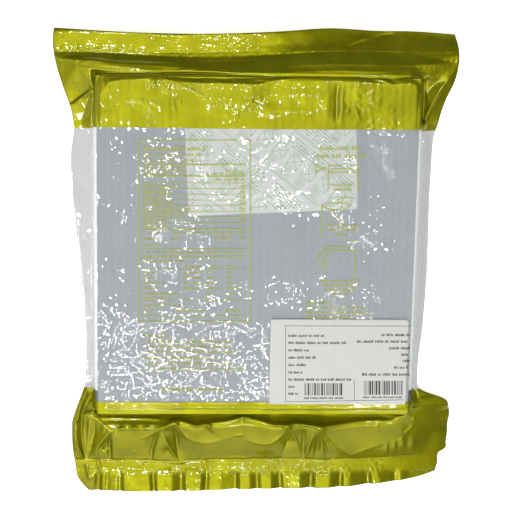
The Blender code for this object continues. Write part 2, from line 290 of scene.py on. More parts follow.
viewTurn = np.array(Euler([math.radians(angle) for angle in view["turn"]]).to_matrix())
focalPixels = view["lens"] / view["sensor"] * view["pixels"]


def fromPhoto(px, py, height=None, surface=None):
    # Where the ray through a pixel meets the film: the place where camera + t * direction has
    # the given height, or the surface's own height, found in four steps
    px = np.asarray(px, float)
    py = np.asarray(py, float)
    centre = view["pixels"] / 2
    ray = np.stack([(px - centre) / focalPixels, (centre - py) / focalPixels, -np.ones_like(px)])
    ray = np.tensordot(viewTurn, ray, 1)
    level = np.full_like(px, film["backMiddle"]) if height is None else np.asarray(height, float)
    for _ in range(4):
        reach = (level - view["place"][2]) / ray[2]
        x = view["place"][0] + reach * ray[0]
        y = view["place"][1] + reach * ray[1]
        if surface is not None:
            level = sample(surface, x, y)
    return x, y


def toPhoto(x, y, z):
    # Pixel of a place: its distances along the camera's axes, over its depth
    offset = np.stack([x - view["place"][0], y - view["place"][1], z - view["place"][2] + 0.0 * x])
    across, up, back = np.tensordot(viewTurn.T, offset, 1)
    centre = view["pixels"] / 2
    return centre - focalPixels * across / back, centre + focalPixels * up / back


def placedRun(run):
    # A run of (pixel, pixel, height) as a run of millimetres
    px, py, z = np.array(run, float).T
    x, y = fromPhoto(px, py, z)
    return [(float(a), float(b), float(c)) for a, b, c in zip(x, y, z)]


# Base shape of both webs, as in the part's source

def pocketShare(x, y, flapSpread):
    # 1 over the board, easing to 0 at the walls' feet on each side
    across = np.maximum(np.abs(x) - board["halfWidth"] - film["gap"], 0.0)
    above = np.maximum(y - board["halfLength"] - film["gap"], 0.0)
    below = np.maximum(-y - board["halfLength"] - film["gap"], 0.0)
    share = 1.0 - ease(across / film["sideWall"])
    share = share * (1.0 - ease(above / film["endWall"]))
    return share * (1.0 - ease(below / flapSpread))


def sealSway(y):
    # The flap's seal droops below the side seams
    return -film["flapDrop"] * ease((film["flapSwayY"] - y) / film["flapSlope"])


def zipSwell(x, y):
    # The webs part round the zip, and close again at the side and top seals
    beside = 1.0 - ease((np.abs(x) - zipper["halfWidth"]) / zipper["sideFall"])
    beyond = 1.0 - ease((y - zipper["topY"]) / (film["topSealY"] - zipper["topY"]))
    started = ease((y - board["halfLength"]) / zipper["start"])
    return zipper["halfHeight"] * beside * beyond * started


def sachetPlace(x, y):
    # Distances along the turned sachet's two directions, from its centre
    dx = x - sachet["centre"][0]
    dy = y - sachet["centre"][1]
    cosine = math.cos(sachet["turn"])
    sine = math.sin(sachet["turn"])
    return dx * cosine + dy * sine, dy * cosine - dx * sine


def sachetWorld(u, v):
    # Back from the sachet's own directions to the pouch's
    cosine = math.cos(sachet["turn"])
    sine = math.sin(sachet["turn"])
    return sachet["centre"][0] + u * cosine - v * sine, sachet["centre"][1] + u * sine + v * cosine


def sachetTop(x, y):
    # Pillow's upper face: thin edge, then the dome let in over the rim, crimps and granules
    across, endwise = sachetPlace(x, y)
    u = np.clip(across / (sachet["width"] / 2), -1.0, 1.0)
    v = np.clip(endwise / (sachet["length"] / 2), -1.0, 1.0)
    rim = np.minimum((1.0 - np.abs(u)) * sachet["width"] / 2, (1.0 - np.abs(v)) * sachet["length"] / 2)
    puffed = ease(rim / sachet["rim"])
    crimp = sachet["crimp"] * np.cos(2.0 * math.pi * (across + endwise) / sachet["crimpPitch"])
    crimp = crimp * (1.0 - ease(rim / sachet["crimpReach"]))
    granules = sachet["granule"] * np.sin(31.0 * u + 3.0 * np.sin(9.0 * v))
    granules = granules * np.sin(24.0 * v + 2.0 * np.sin(11.0 * u)) * puffed
    dome = sachet["dome"] * (1.0 - u ** 4) * (1.0 - v ** 4)
    return sachet["base"] + sachet["edge"] * 0.6 + dome * puffed + crimp + granules


def sachetLift(x, y):
    # The film lies on the sachet, and stands off its edges in a low slope
    across, endwise = sachetPlace(x, y)
    beyond = np.maximum(np.abs(across) - sachet["width"] / 2, np.abs(endwise) - sachet["length"] / 2)
    rise = np.maximum(sachetTop(x, y) - sachet["base"], sachet["least"])
    return np.where(beyond < 0.0, rise, sachet["least"] * (1.0 - ease(beyond / sachet["fall"])))


def baseHeight(x, y):
    # Seam, its sway, the pocket over the board, and the zip's swell outside the pocket
    pocket = pocketShare(x, y, film["endWall"])
    top = (film["backMiddle"] - film["seam"]) * pocket
    return film["seam"] + sealSway(y) + top + zipSwell(x, y) * (1.0 - pocket)


# Creases of the zip header. Each run is a broken line of places in the photograph's pixels, with
# the film's height there in millimetres
headerNet = {
    "crisp": 0.85,       # share of the sharply creased surface on the runs, the rest is curved
    "between": 0.6,      # the same share away from the runs
    "reach": 1.0,
    "creaseRadius": 0.34,
    "curveRadius": 1.8,
    "calm": {"from": 118.0, "over": 4.5, "radius": 3.0},  # sealed strip without creases
    "start": 70.0,
    "fade": 5.0,
    "runs": (
        # beyond the sealed edge
        ((44, 25, 14.7), (62, 24, 14.6), (96, 26, 14.4), (150, 28, 14.2), (200, 29, 14.0), (240, 28, 13.4),
         (270, 26, 12.2), (292, 25, 10.4), (330, 23, 8.6), (380, 26, 7.8), (411, 26, 7.4), (470, 30, 7.0)),
        # upper line of the zip
        ((44, 46, 13.3), (57, 45.6, 13.3), (70, 46, 13.3), (90, 47, 13.3), (117, 48.5, 13.3),
         (143, 51, 13.3), (157, 52.2, 13.3), (184, 52.8, 13.3), (210, 52.3, 13.2), (240, 51.2, 13.0),
         (265, 50.5, 12.8), (290, 48.5, 12.7), (317, 46.6, 12.6), (350, 46.2, 12.6), (380, 46.4, 12.6),
         (411, 47, 12.4), (470, 49, 12.2)),
        # middle of the zip
        ((44, 50.6, 13.6), (70, 50.8, 13.7), (90, 51.4, 13.7), (117, 53.4, 13.8), (143, 55.4, 13.8),
         (184, 57.0, 13.9), (210, 57.0, 13.8), (240, 56.2, 13.6), (265, 55.4, 13.6), (290, 53.6, 13.8),
         (330, 51.8, 14.0), (370, 52.0, 14.0), (411, 53.2, 13.8), (470, 54.0, 12.9)),
        # groove below it
        ((44, 55.5, 14.2), (70, 55.8, 14.6), (95, 56.5, 14.9), (117, 58.8, 15.2), (150, 60.2, 15.3),
         (184, 61.8, 15.3), (210, 63.0, 15.2), (240, 62.5, 15.1), (265, 61.0, 15.3), (290, 59.6, 15.8),
         (330, 57.3, 16.2), (370, 57.8, 16.2), (411, 59.5, 15.6), (440, 60, 14.2), (470, 59, 12.9)),
        ((44, 57.6, 13.8), (58, 58.4, 14.8), (70, 58.6, 16.0), (95, 59.7, 17.4), (117, 62.9, 17.9),
         (150, 64.4, 18.1), (184, 66.6, 17.7), (210, 68.0, 17.2), (240, 67.4, 17.4), (265, 66.3, 17.8),
         (290, 64.6, 18.2), (330, 63.2, 18.6), (370, 63.8, 18.6), (411, 65.0, 17.8), (440, 64.6, 15.6),
         (452, 62.5, 13.8), (470, 60.5, 12.9)),
        # crest of the lip
        ((44, 60, 13.4), (57, 61.5, 14.0), (61.4, 62.2, 14.6), (68, 64.3, 15.4), (76.8, 66.9, 16.6),
         (90.2, 69.6, 17.6), (97, 70.0, 18.1), (103.6, 70.6, 18.4), (117, 71.3, 18.6), (130.4, 71.9, 18.8),
         (143.8, 71.3, 19.0), (151.8, 71.0, 19.2), (165, 71.8, 18.9), (184, 71.7, 18.8),
         (210.7, 72.1, 18.9), (222, 72.6, 19.2), (237.5, 73.5, 19.7), (250, 73.4, 20.0), (271, 74.1, 20.3),
         (290, 74.4, 20.4), (330, 74.9, 20.5), (350, 75.3, 20.5), (372, 76.1, 20.5), (400, 76.3, 20.2),
         (411.6, 76.1, 19.6), (419.8, 75.6, 17.8), (428, 74.4, 16.4), (437.5, 73.6, 15.2),
         (448, 70.5, 14.4), (456.6, 66.9, 13.6), (470, 62, 12.9)),
        # slot between the lip and the stack's end
        ((95.2, 71.4, 13.0), (103.6, 72.1, 16.4), (117, 72.8, 17.0), (130.4, 73.3, 17.2),
         (143.8, 72.8, 17.4), (150, 72.6, 17.8), (156, 72.9, 17.4), (165, 73.4, 16.0), (184, 73.6, 15.4),
         (210, 74.0, 15.6), (222, 74.5, 16.4), (236, 75.0, 17.8), (250, 74.9, 18.6), (271, 75.5, 19.4),
         (290, 75.8, 19.7), (330, 76.2, 19.9), (350, 76.5, 19.9), (372, 77.3, 19.9), (390, 77.5, 19.9),
         (411, 77.2, 18.8), (422, 77.2, 15.0)),
        # where the film leaves the stack's top
        ((95.3, 142, 20.1), (95.2, 128, 20.1), (94.9, 90, 20.1), (95.2, 82, 20.1), (97.0, 78.0, 20.1),
         (101.5, 75.4, 20.15), (110, 74.6, 20.2), (117, 74.2, 20.25), (125, 74.2, 20.3), (131, 74.6, 20.35),
         (144, 74.3, 20.45), (150, 74.0, 20.6), (157, 74.6, 20.5), (163, 76.0, 20.6), (171, 79.0, 21.0),
         (184.6, 82.3, 21.4), (200, 83.0, 21.5), (225, 83.2, 21.5), (245, 83.6, 21.5), (258, 84.4, 21.4),
         (270, 82, 21.2), (283, 78.8, 20.9), (300, 77.4, 20.7), (330, 77.3, 20.5), (350, 77.7, 20.6),
         (372, 78.8, 20.5), (386, 80.2, 20.45), (392.5, 81.6, 20.4), (400, 79.8, 20.3), (411, 79.2, 20.2),
         (419, 80.6, 20.1), (421.8, 84, 20.1), (421.4, 96, 20.1), (420.4, 128, 20.1), (419.8, 142, 20.1)),
        ((95.3, 142, 20.1), (180, 142, 20.25), (260, 142, 20.3), (340, 142, 20.25), (419.8, 142, 20.1)),
        # top of the pillows behind the slot
        ((98.6, 104, 20.6), (100.6, 94, 21.0), (104.6, 87, 21.3), (111, 82.4, 21.5), (120, 80.0, 21.5),
         (132, 79.2, 21.5), (144, 78.4, 21.5), (152, 78.4, 21.5), (159, 80.4, 21.4)),
        ((289, 81.4, 21.0), (300, 80.8, 21.1), (330, 80.8, 21.1), (350, 81.4, 21.3), (372, 82.6, 21.3),
         (384, 84.4, 21.2), (394, 86, 21.1), (404, 83.8, 21.1), (412, 83.6, 21.0), (416.6, 86, 20.9),
         (417.8, 94, 20.6)),
        # pocket's floor along the board's end
        ((171, 76.7, 20.1), (184, 77.4, 20.0), (210, 77.8, 20.0), (222, 78.2, 20.0), (245, 78.2, 20.0),
         (258, 78.3, 20.0), (271, 78.0, 20.05), (281, 77.4, 20.2)),
        ((178, 90, 20.9), (200, 93, 20.9), (225, 94, 20.9), (250, 96, 20.9), (268, 92, 20.7)),
        # left ear: outline, ridge beside the stack, tucked fold and the crevice
        ((48, 60, 12.9), (52, 72, 12.6), (56, 82, 12.2), (61, 92, 11.8), (66, 102, 11.0), (69, 112, 10.5),
         (69, 128, 10.2), (69, 142, 10.2)),
        ((90.2, 69.6, 17.6), (91.6, 75, 16.8), (92.4, 80, 16.2), (93.0, 86.5, 15.8)),
        ((93.0, 86.5, 15.8), (89.6, 89.2, 13.9), (84.6, 93.0, 12.9), (78.6, 97, 12.0), (72.4, 101.4, 11.0),
         (67, 105.6, 10.6)),
        ((93.0, 88.6, 15.8), (88.6, 91.4, 15.3), (84, 95.6, 14.3), (78.4, 99.8, 13.2), (73.0, 104.4, 11.9)),
        ((93.0, 88.6, 15.8), (89.8, 97, 13.0), (85.6, 110, 11.4), (82.1, 121.8, 10.6), (81, 131, 10.3),
         (81, 142, 10.2)),
        ((93.4, 92, 15.4), (93.0, 100, 14.6), (92.6, 112, 13.4), (92.2, 124, 12.0), (91.8, 134, 11.0),
         (91.8, 142, 10.3)),
        ((94.0, 73.6, 12.0), (93.9, 77, 10.2), (93.9, 82, 9.8), (94.0, 88, 9.8), (94.0, 100, 9.9),
         (94.0, 115, 10.0), (94.1, 128, 10.2), (94.1, 142, 10.2)),
        # right ear: outline, main ridge, small ridge, facets and the crevice
        ((468, 62, 12.6), (461, 76, 12.4), (455, 90, 12.0), (447.5, 104, 11.4), (441, 118, 10.8),
         (437, 131, 10.4), (435, 142, 10.2)),
        ((453.6, 73.6, 14.2), (448, 80, 15.0), (442.9, 87, 15.2), (438, 95, 15.2), (433.5, 103, 14.8),
         (428.5, 111.5, 14.2), (424, 120, 13.2), (421.3, 128.5, 12.0), (420.6, 142, 10.4)),
        ((444.5, 88.5, 14.0), (440, 96, 13.4), (436.5, 102.5, 12.9), (445.6, 104.5, 11.9)),
        ((436.5, 102.5, 12.9), (432, 112, 12.4), (428, 121, 11.4), (425, 131, 10.6), (424, 142, 10.3)),
        ((423.6, 81.5, 14.6), (424.6, 78.6, 15.4), (426.4, 77.4, 15.7), (431, 77.6, 15.6),
         (436, 78.0, 15.0), (441, 76.2, 14.9)),
        ((427.2, 79.2, 14.4), (425.4, 87, 12.6), (426.6, 96, 12.4), (424.6, 108, 11.4), (423, 118, 10.4)),
        ((430, 88, 12.4), (434, 84, 12.6), (437.5, 82, 13.0)),
        ((423.2, 84, 11.0), (423.4, 90, 9.8), (423, 98, 9.7), (422.6, 108, 9.6), (422.0, 120, 9.6),
         (421.6, 130, 9.8), (421.3, 142, 10.2)),
    ),
}

# Creases of the sealed flap and of the curled corners beside it
flapNet = {
    "crisp": 0.75,
    "between": 0.1,
    "reach": 0.9,
    "creaseRadius": 0.36,
    "curveRadius": 2.4,
    "relief": {"from": -112.0, "over": 4.0, "radius": 4.5, "gain": 0.7},  # local heights made stronger
    "start": -86.0,
    "fade": 6.0,
    "runs": (
        # edge of the stack's top
        ((95.4, 374, 20.1), (95.6, 402, 20.1), (96.8, 410.6, 20.1), (99.4, 413.6, 20.5), (110, 414.6, 20.9),
         (161, 414.9, 21.3), (260, 415.1, 21.4), (364.6, 415.2, 21.3), (398, 415.0, 20.9),
         (406.0, 413.6, 20.3), (409.4, 409.5, 20.1), (410.4, 400, 20.1), (411.0, 374, 20.1)),
        ((95.4, 374, 20.1), (200, 374, 20.2), (300, 374, 20.2), (411.0, 374, 20.1)),
        ((96.4, 405, 20.1), (160, 405, 20.2), (260, 405, 20.2), (360, 405, 20.2), (409.4, 405, 20.1)),
        # crest from the left corner over the peaks A, B, C, D and E to the right corner
        ((86, 417.0, 12.4), (91, 418.0, 13.0), (98, 420, 12.9), (104, 426, 13.0), (110.3, 431, 13.6),
         (117, 429.2, 13.3), (122, 428.2, 13.9), (128, 428.9, 13.4), (134, 428.1, 14.1), (141, 428.8, 13.6),
         (147, 428.2, 14.1), (152.5, 428.8, 13.8), (160.7, 428.3, 14.6), (167, 425.5, 15.3),
         (174.4, 421.8, 16.4), (181, 421.6, 15.6), (188, 423.2, 15.0), (197, 426, 14.6), (204, 423.6, 15.2),
         (208.4, 424.2, 15.6), (213, 422.2, 15.4), (217, 423, 15.2), (226, 421.5, 15.6), (234, 420, 16.2),
         (242.4, 416.6, 17.0), (250, 418.5, 16.2), (256, 420.2, 15.8), (265, 422.2, 15.4),
         (273, 424.6, 15.2), (280, 424.8, 15.6), (286.8, 425, 16.0), (293, 423.6, 15.6),
         (300.5, 423.8, 15.2), (310, 425.3, 15.2), (317.5, 426.4, 15.4), (320.1, 427, 15.6),
         (328, 426.4, 14.9), (338.4, 424.4, 14.5), (351.5, 422.5, 14.2), (364.6, 421.1, 14.0),
         (377.7, 420.5, 13.8), (390.7, 420.9, 13.4), (402, 420.4, 12.9), (414.3, 418.5, 12.2),
         (430, 414.6, 10.0), (441, 411, 7.8), (450, 407, 5.8)),
        # upper facet at the left, between the stack and the crest
        ((99.5, 417.4, 12.0), (110, 417.8, 11.8), (125, 418, 11.9), (140, 418.2, 12.0), (152, 418.4, 12.5),
         (160, 419.6, 13.4)),
        # ridge below peak A, the fold beside it and the foot of the dark facet
        ((110.3, 431, 13.6), (103, 440, 12.2), (96, 449, 10.4), (88.1, 459.4, 8.0)),
        ((110.9, 432, 13.2), (110.4, 440, 10.2), (110.0, 448, 8.9), (110.2, 459.2, 7.8)),
        ((111.2, 431.2, 13.6), (112.2, 440, 12.2), (112.6, 449, 10.5), (113, 458.6, 8.7)),
        ((104, 447, 9.4), (106.6, 452.5, 9.4), (109.6, 458.4, 8.0)),
        # crease that falls from peak B to the left, and the facets under it
        ((174.4, 421.8, 16.4), (167.5, 426.8, 15.0), (160.7, 430.0, 14.2), (150, 434.6, 12.9),
         (140.4, 438.8, 11.9)),
        ((161.3, 432.2, 13.9), (157.6, 440, 12.4), (155.2, 449, 10.6), (153.4, 459, 8.6)),
        ((158.6, 432.6, 13.2), (155.6, 439, 11.0), (152.6, 447, 9.2), (151.2, 459.2, 7.8)),
        ((140.4, 438.8, 11.9), (143.4, 446, 10.6), (147.8, 453, 9.2), (150.4, 459.4, 8.0)),
        ((161.8, 432.6, 13.9), (165, 439, 12.9), (168.5, 446, 11.6), (173, 453.5, 9.8),
         (178.3, 461.7, 7.8)),
        ((164.6, 454, 9.0), (168.4, 449.6, 9.8), (172.4, 455, 8.8)),
        ((175.2, 424, 15.0), (175.6, 430, 12.6), (176.6, 439, 10.2), (177.4, 450, 8.6), (178.8, 460, 7.6)),
        # bowl between B and the notch, its lower lip, and the small arches below
        ((174.4, 421.8, 16.4), (176.4, 425.4, 14.9), (179, 429, 14.3), (185.5, 436.8, 13.1),
         (194.7, 441.4, 12.4), (203.8, 443.1, 12.1), (214.3, 442, 12.2), (224.7, 438.8, 12.8),
         (233.9, 436.2, 13.4), (241.7, 434.9, 14.0)),
        ((208.4, 424.2, 15.6), (209.6, 427.6, 14.8), (213.4, 431.6, 14.1)),
        ((206.6, 425.0, 14.8), (207.4, 429, 13.9), (211.4, 434, 13.2)),
        ((186.4, 443.4, 11.5), (188.4, 450, 9.9), (190, 458.4, 8.2)),
        ((180.4, 442, 10.9), (183, 452, 9.0), (184.6, 459.4, 7.8)),
        ((198, 449, 10.4), (199.4, 455, 9.0), (200.6, 459.4, 8.0)),
        # crease under peak C, second bowl and peak D
        ((242.4, 416.6, 17.0), (242.2, 426, 15.3), (241.7, 434.9, 14.0)),
        ((241.7, 434.9, 14.0), (248, 440.4, 12.9), (256, 443.2, 12.4), (265, 444.3, 12.2),
         (271.8, 443.6, 12.3), (278, 439.4, 13.2), (283.5, 434, 14.2), (286.8, 425, 16.0)),
        ((286.8, 425, 16.0), (292, 433, 13.9), (297, 443, 11.4), (301, 455, 8.6)),
        ((288, 440, 10.9), (284, 450, 9.4), (281, 458, 8.0)),
        ((304.5, 430, 13.4), (303.6, 440, 10.9), (303.2, 450, 9.0), (302.8, 458.4, 7.8)),
        # peak E
        ((320.1, 427, 15.6), (317.0, 432.6, 14.4), (311.6, 439.0, 13.0), (307.9, 449, 10.8),
         (304.4, 457.4, 8.4)),
        ((318.6, 434.4, 12.8), (317.4, 446, 9.6), (315, 458.2, 7.8)),
        ((320.1, 427, 15.6), (320.4, 434.2, 14.2), (322.1, 447.3, 11.0), (324.4, 459, 8.2)),
        ((320.1, 427, 15.6), (324.4, 432.0, 14.2), (333.2, 440.8, 12.4), (338.4, 447.3, 11.0),
         (345, 452.5, 9.6), (351.5, 456.5, 8.4)),
        ((326, 441, 11.4), (329, 449, 9.6), (333, 457, 8.0)),
        # smooth right part and its lower bend
        ((351.5, 456.5, 8.4), (358, 452.8, 9.4), (366, 449.4, 9.9), (380.3, 444.2, 10.4), (400, 440.5, 9.9),
         (417, 436.5, 8.2), (432, 431.0, 5.8), (450, 424, 3.0)),
        # weld and the start of the fluted strip
        ((68, 457.6, 7.8), (82, 459.5, 7.9), (88.1, 459.9, 7.9), (110.2, 459.6, 7.8), (128, 460, 7.7),
         (151.4, 460.4, 7.6), (178.3, 462, 7.5), (200, 460.2, 7.7), (225, 459.6, 7.7), (260, 459.2, 7.7),
         (303, 459.2, 7.6), (325.4, 460, 7.5), (351.5, 459, 7.3), (390.7, 457, 5.8), (420, 454.4, 3.8),
         (439, 452.5, 2.0), (452, 451, 1.4)),
        ((68, 463, 7.8), (90, 466, 8.3), (120, 469.5, 8.7), (150, 470, 8.7), (200, 470, 8.7),
         (250, 469, 8.7), (300, 468.5, 8.6), (340, 468, 8.1), (380, 466, 6.4), (410, 463, 4.6),
         (440, 460, 2.2), (454, 458, 1.4)),
        ((68, 504, 9.2), (150, 504, 10.0), (250, 503, 10.0), (340, 500, 9.0), (400, 494, 6.0),
         (440, 485, 2.8), (456, 480, 1.6)),
        # rolled rim at the left: outline, crest, foot and the column beside it
        ((88, 374, 10.2), (86, 386, 10.4), (81, 393, 10.6), (73, 405, 10.6), (69.5, 418, 10.8),
         (69, 430, 10.6), (69.5, 446, 9.4), (72, 462, 7.2), (75, 480, 6.3), (84, 496, 6.0)),
        ((90, 381, 10.8), (87.6, 389, 12.4), (84.8, 396.3, 13.8), (81, 405.5, 14.8), (77.4, 421, 15.0),
         (76.5, 434, 14.2), (78.3, 446, 12.2), (82.4, 456.0, 9.4), (85.5, 459.6, 8.0)),
        ((91, 393, 10.0), (87.6, 400, 9.6), (83.6, 409, 9.6), (81.4, 419, 10.0), (80.4, 430, 9.6),
         (81.6, 444, 8.8), (85.0, 457.4, 7.9)),
        ((89.5, 418.6, 12.6), (89.0, 430, 11.4), (87.6, 444, 9.8), (86.0, 458.4, 8.0)),
        ((94.5, 421, 11.6), (94.0, 434, 10.2), (91.0, 448, 8.8)),
        ((94.6, 412.6, 14.4), (90, 413.0, 13.6), (83.5, 414.4, 12.4)),
        ((93.0, 404, 11.6), (93.4, 407.4, 12.6), (94.2, 410.2, 13.6)),
        ((93.6, 374, 10.2), (93.6, 392, 10.2), (92.8, 400, 10.0)),
        # pleated corner at the right
        ((411.4, 405.0, 17.4), (415, 403, 16.2), (420.8, 400.6, 15.0), (432, 398.4, 13.4),
         (441.7, 397.2, 11.6), (452, 396, 9.8)),
        ((411.6, 407.2, 14.6), (417, 405.2, 13.4), (424, 402.8, 12.8), (434, 400.6, 11.9),
         (450, 398.8, 9.8)),
        ((411.0, 409.2, 16.4), (416, 407.4, 15.4), (423.4, 404.8, 14.4), (432, 403.2, 13.4),
         (440.4, 401.6, 12.2), (452, 400.4, 9.6)),
        ((410.4, 411.4, 13.2), (415, 409.6, 12.6), (424, 406.8, 12.0), (434, 404.6, 11.2),
         (452, 402.2, 9.2)),
        ((396, 417.6, 14.2), (407, 414.6, 14.0), (416.9, 410.0, 13.6), (425, 408.2, 12.8),
         (433.9, 406.4, 11.6), (452, 404, 8.8)),
        ((413.2, 374, 10.2), (413.0, 388, 10.2), (413.4, 396, 11.4), (412.6, 401, 13.6)),
        ((417, 374, 10.2), (419, 385, 10.4), (428, 389, 10.4), (440, 389, 9.8), (452, 393, 8.2),
         (457, 406, 5.0), (457, 420, 3.0), (454, 438, 2.0), (450, 452, 1.4)),
    ),
    # feet of the stack's walls, in millimetres: the stack hides them from the camera
    "hidden": (
        ((-98.6, -106.0, 9.0), (-97.0, -107.8, 6.0), (-90, -108.0, 4.0), (-71, -108.0, 3.0),
         (-33, -107.9, 3.0), (-8, -107.7, 4.0), (0, -107.6, 5.0), (8, -107.7, 4.0), (43, -108.0, 3.0),
         (83, -108.0, 4.0), (94, -108.0, 7.0)),
    ),
}

# Single folds and steps over the stack's top: path, height, left width, right width
plateauFolds = (
    # double ridge across the left half
    (((150, 72.4), (156, 74.0), (164, 76.4), (177.7, 81.4), (191.5, 87.6), (202.5, 93.1), (210.8, 99.6),
      (219, 107)), 0.3, 1.0, 2.4),
    (((158, 77.4), (170, 80.6), (184, 86.0), (196, 91.4), (206, 97.6), (214, 105)), 0.22, 1.0, 1.2),
    # step to the raised right part
    (((340, 79), (338.2, 86), (337.2, 97), (336.8, 110), (337.0, 126)), -0.9, 1.6, 7.0),
    (((343, 81), (342, 90), (341.4, 104), (341, 124)), 0.35, 3.0, 1.6),
    (((372, 78.4), (382, 80.0), (390, 83.4), (394, 87)), 0.5, 3.0, 1.2),
    (((357, 103), (362, 108), (367, 112)), 0.3, 1.2, 1.2),
    (((354, 104), (357, 112), (361, 122)), 0.35, 1.2, 2.0),
    # small creases left
    (((142, 95), (145, 101), (150, 106), (152.6, 113)), 0.3, 1.0, 1.6),
    (((172, 92), (173.6, 102), (174.6, 112)), 0.35, 1.2, 1.8),
    (((176, 100), (180, 105), (184, 98)), 0.25, 1.0, 1.2),
    (((124, 99), (136, 101), (150, 100)), 0.25, 2.0, 2.4),
    (((120, 107), (134, 106), (146, 110)), 0.2, 2.0, 2.4),
    # lines along the zip
    (((60, 48.4), (110, 50.4), (160, 54.4), (210, 54.6), (262, 52.8)), 0.22, 0.7, 0.7),
    (((56, 53.6), (100, 54.4), (150, 58.0), (200, 59.8), (250, 58.6)), 0.2, 0.7, 0.7),
    (((250, 52.4), (290, 49.6), (330, 47.8), (380, 47.6), (446, 49.0)), 0.24, 0.7, 0.8),
    (((262, 54.6), (300, 51.8), (340, 50.4), (390, 50.8), (446, 52.2)), 0.24, 0.7, 0.8),
    (((270, 57.0), (310, 54.4), (350, 53.2), (400, 54.2), (446, 55.6)), 0.2, 0.7, 0.7),
    # marks on the sealed strip
    (((87, 40.2), (92, 40.4), (98, 41.0)), 0.3, 0.7, 1.2),
    (((103, 42.4), (110, 42.8), (117, 43.6)), 0.3, 0.7, 1.2),
    (((162, 41.8), (170, 42.8), (178, 44.2)), 0.4, 0.8, 1.6),
    (((143, 33.6), (160, 35.2), (180, 36), (198, 36)), 0.4, 1.6, 1.6),
    (((62, 36), (64.6, 38.4), (66, 40)), 0.5, 1.0, 1.2),
    (((345, 41), (350, 38), (353, 36)), 0.3, 0.8, 1.2),
    (((357, 41), (360, 39)), 0.3, 0.8, 0.8),
    (((372, 41), (384, 37), (398, 36)), -0.4, 3.0, 3.0),
    (((346, 46), (360, 41), (372, 38)), 0.5, 4.0, 2.0),
    # lip
    (((96, 63.6), (120, 66.4), (142, 68.2), (150, 69.6)), 0.35, 2.4, 1.2),
    (((176, 70.4), (190, 68.6), (212, 70.0), (228, 72.2)), 0.3, 0.8, 0.8),
    (((272, 72.6), (300, 70.4), (340, 69.6), (400, 71.4)), 0.25, 1.6, 1.4),
    (((232, 75.8), (236, 79), (240, 82)), 0.5, 0.7, 0.7),
    (((200, 79.6), (207, 78.8), (214, 79.6)), 0.35, 0.9, 0.9),
    (((252, 79.6), (260, 79.0), (272, 80.4), (282, 79.4)), 0.45, 1.2, 0.9),
    # ears
    (((57, 70.6), (63, 70.8)), 0.3, 0.6, 0.6),
    (((71, 83.2), (76, 83.6), (82, 83.4)), 0.35, 0.7, 0.7),
    # window and fins
    (((170, 222), (188, 221), (193, 226)), 0.35, 0.9, 0.9),
    (((172, 243), (182, 232), (190, 224)), 0.3, 0.7, 0.7),
    (((91, 230), (85, 236), (83, 244)), 0.5, 1.0, 1.2),
    (((94, 258), (92, 266), (89, 278)), 0.5, 0.8, 1.2),
    (((326, 190), (330, 189), (345, 192), (352, 196)), 0.3, 0.7, 0.8),
    (((365, 196), (378, 200), (392, 206)), 0.3, 0.6, 0.8),
    (((421, 134), (424, 141), (429, 146)), 0.5, 1.0, 1.4),
    # flap: short folds
    (((377, 421), (377.6, 428), (379, 435)), 0.22, 1.2, 1.2),
    (((232.5, 435.6), (238, 434.2), (243, 433.6), (246, 435)), 0.3, 0.9, 0.9),
    (((268, 424.2), (276, 425.4), (284, 425.2)), 0.3, 0.9, 0.9),
    (((271, 442.5), (275, 439), (279, 434.5)), 0.3, 0.8, 0.8),
    (((208.6, 423.5), (209.4, 427), (211.5, 431)), 0.3, 0.8, 0.8),
    (((316, 428.4), (322, 428.4), (331, 430)), 0.35, 0.9, 0.9),
    (((171.6, 425), (174.6, 421.6), (177.4, 425.6)), 0.35, 0.9, 0.9),
    (((138, 439.6), (146, 436.4), (156, 432.4)), 0.3, 0.9, 0.9),
    (((236, 421.6), (242.4, 417), (248, 419.6)), 0.35, 0.9, 0.9),
    (((188, 423.4), (192, 425), (197, 426)), 0.25, 0.9, 0.9),
    (((404.6, 434.6), (410, 430), (414.6, 424)), 0.5, 1.6, 1.2),
    (((414.6, 418.4), (415.4, 422.6)), 0.7, 1.2, 1.2),
    (((89, 448), (92.6, 440), (94.4, 433)), 0.5, 0.8, 0.8),
    (((102.6, 426), (103.4, 433)), 0.5, 1.0, 1.0),
    (((115.6, 435), (118.6, 439.6)), 0.3, 0.9, 0.9),
    (((134, 454), (135, 449)), 0.4, 0.8, 0.8),
    (((96, 447), (98, 461), (102, 475)), 0.6, 1.6, 3.0),
    (((86, 461), (88, 470), (92, 482)), 0.8, 1.2, 2.4),
    (((122, 456.6), (128, 461.6), (134, 459)), 0.4, 1.0, 1.0),
    (((180, 463.6), (190, 466.6)), 0.3, 0.8, 0.8),
    (((226, 458), (240, 457.6), (252, 459)), 0.4, 2.0, 1.0),
    (((164, 478), (167, 487)), 0.4, 0.8, 0.8),
    (((185, 480), (188, 488)), 0.4, 0.8, 0.8),
    (((195, 482), (197.6, 487.6)), 0.4, 0.8, 0.8),
)

# Soft round swells: pixel across, pixel down, radius and height in millimetres
swells = (
    (236, 91, 5.0, 0.25), (247, 101, 6.5, 0.4), (236, 112, 4.0, 0.25), (152, 88, 5.0, 0.25),
    (167, 92, 4.5, 0.25), (106, 101, 4.0, 0.2), (150, 104, 4.5, 0.2), (360, 96, 5.0, 0.25),
    (371, 103, 6.0, 0.3), (346, 110, 4.0, 0.3), (388, 110, 4.0, 0.2),
    # above the seal at the right
    (386.4, 450.5, 1.7, 0.8, 2.2), (394.0, 448.5, 1.8, 0.9, 2.2), (402.4, 446.0, 2.0, 0.8, 2.2),
    (413.0, 444.0, 2.2, 0.5, 2.0),
)

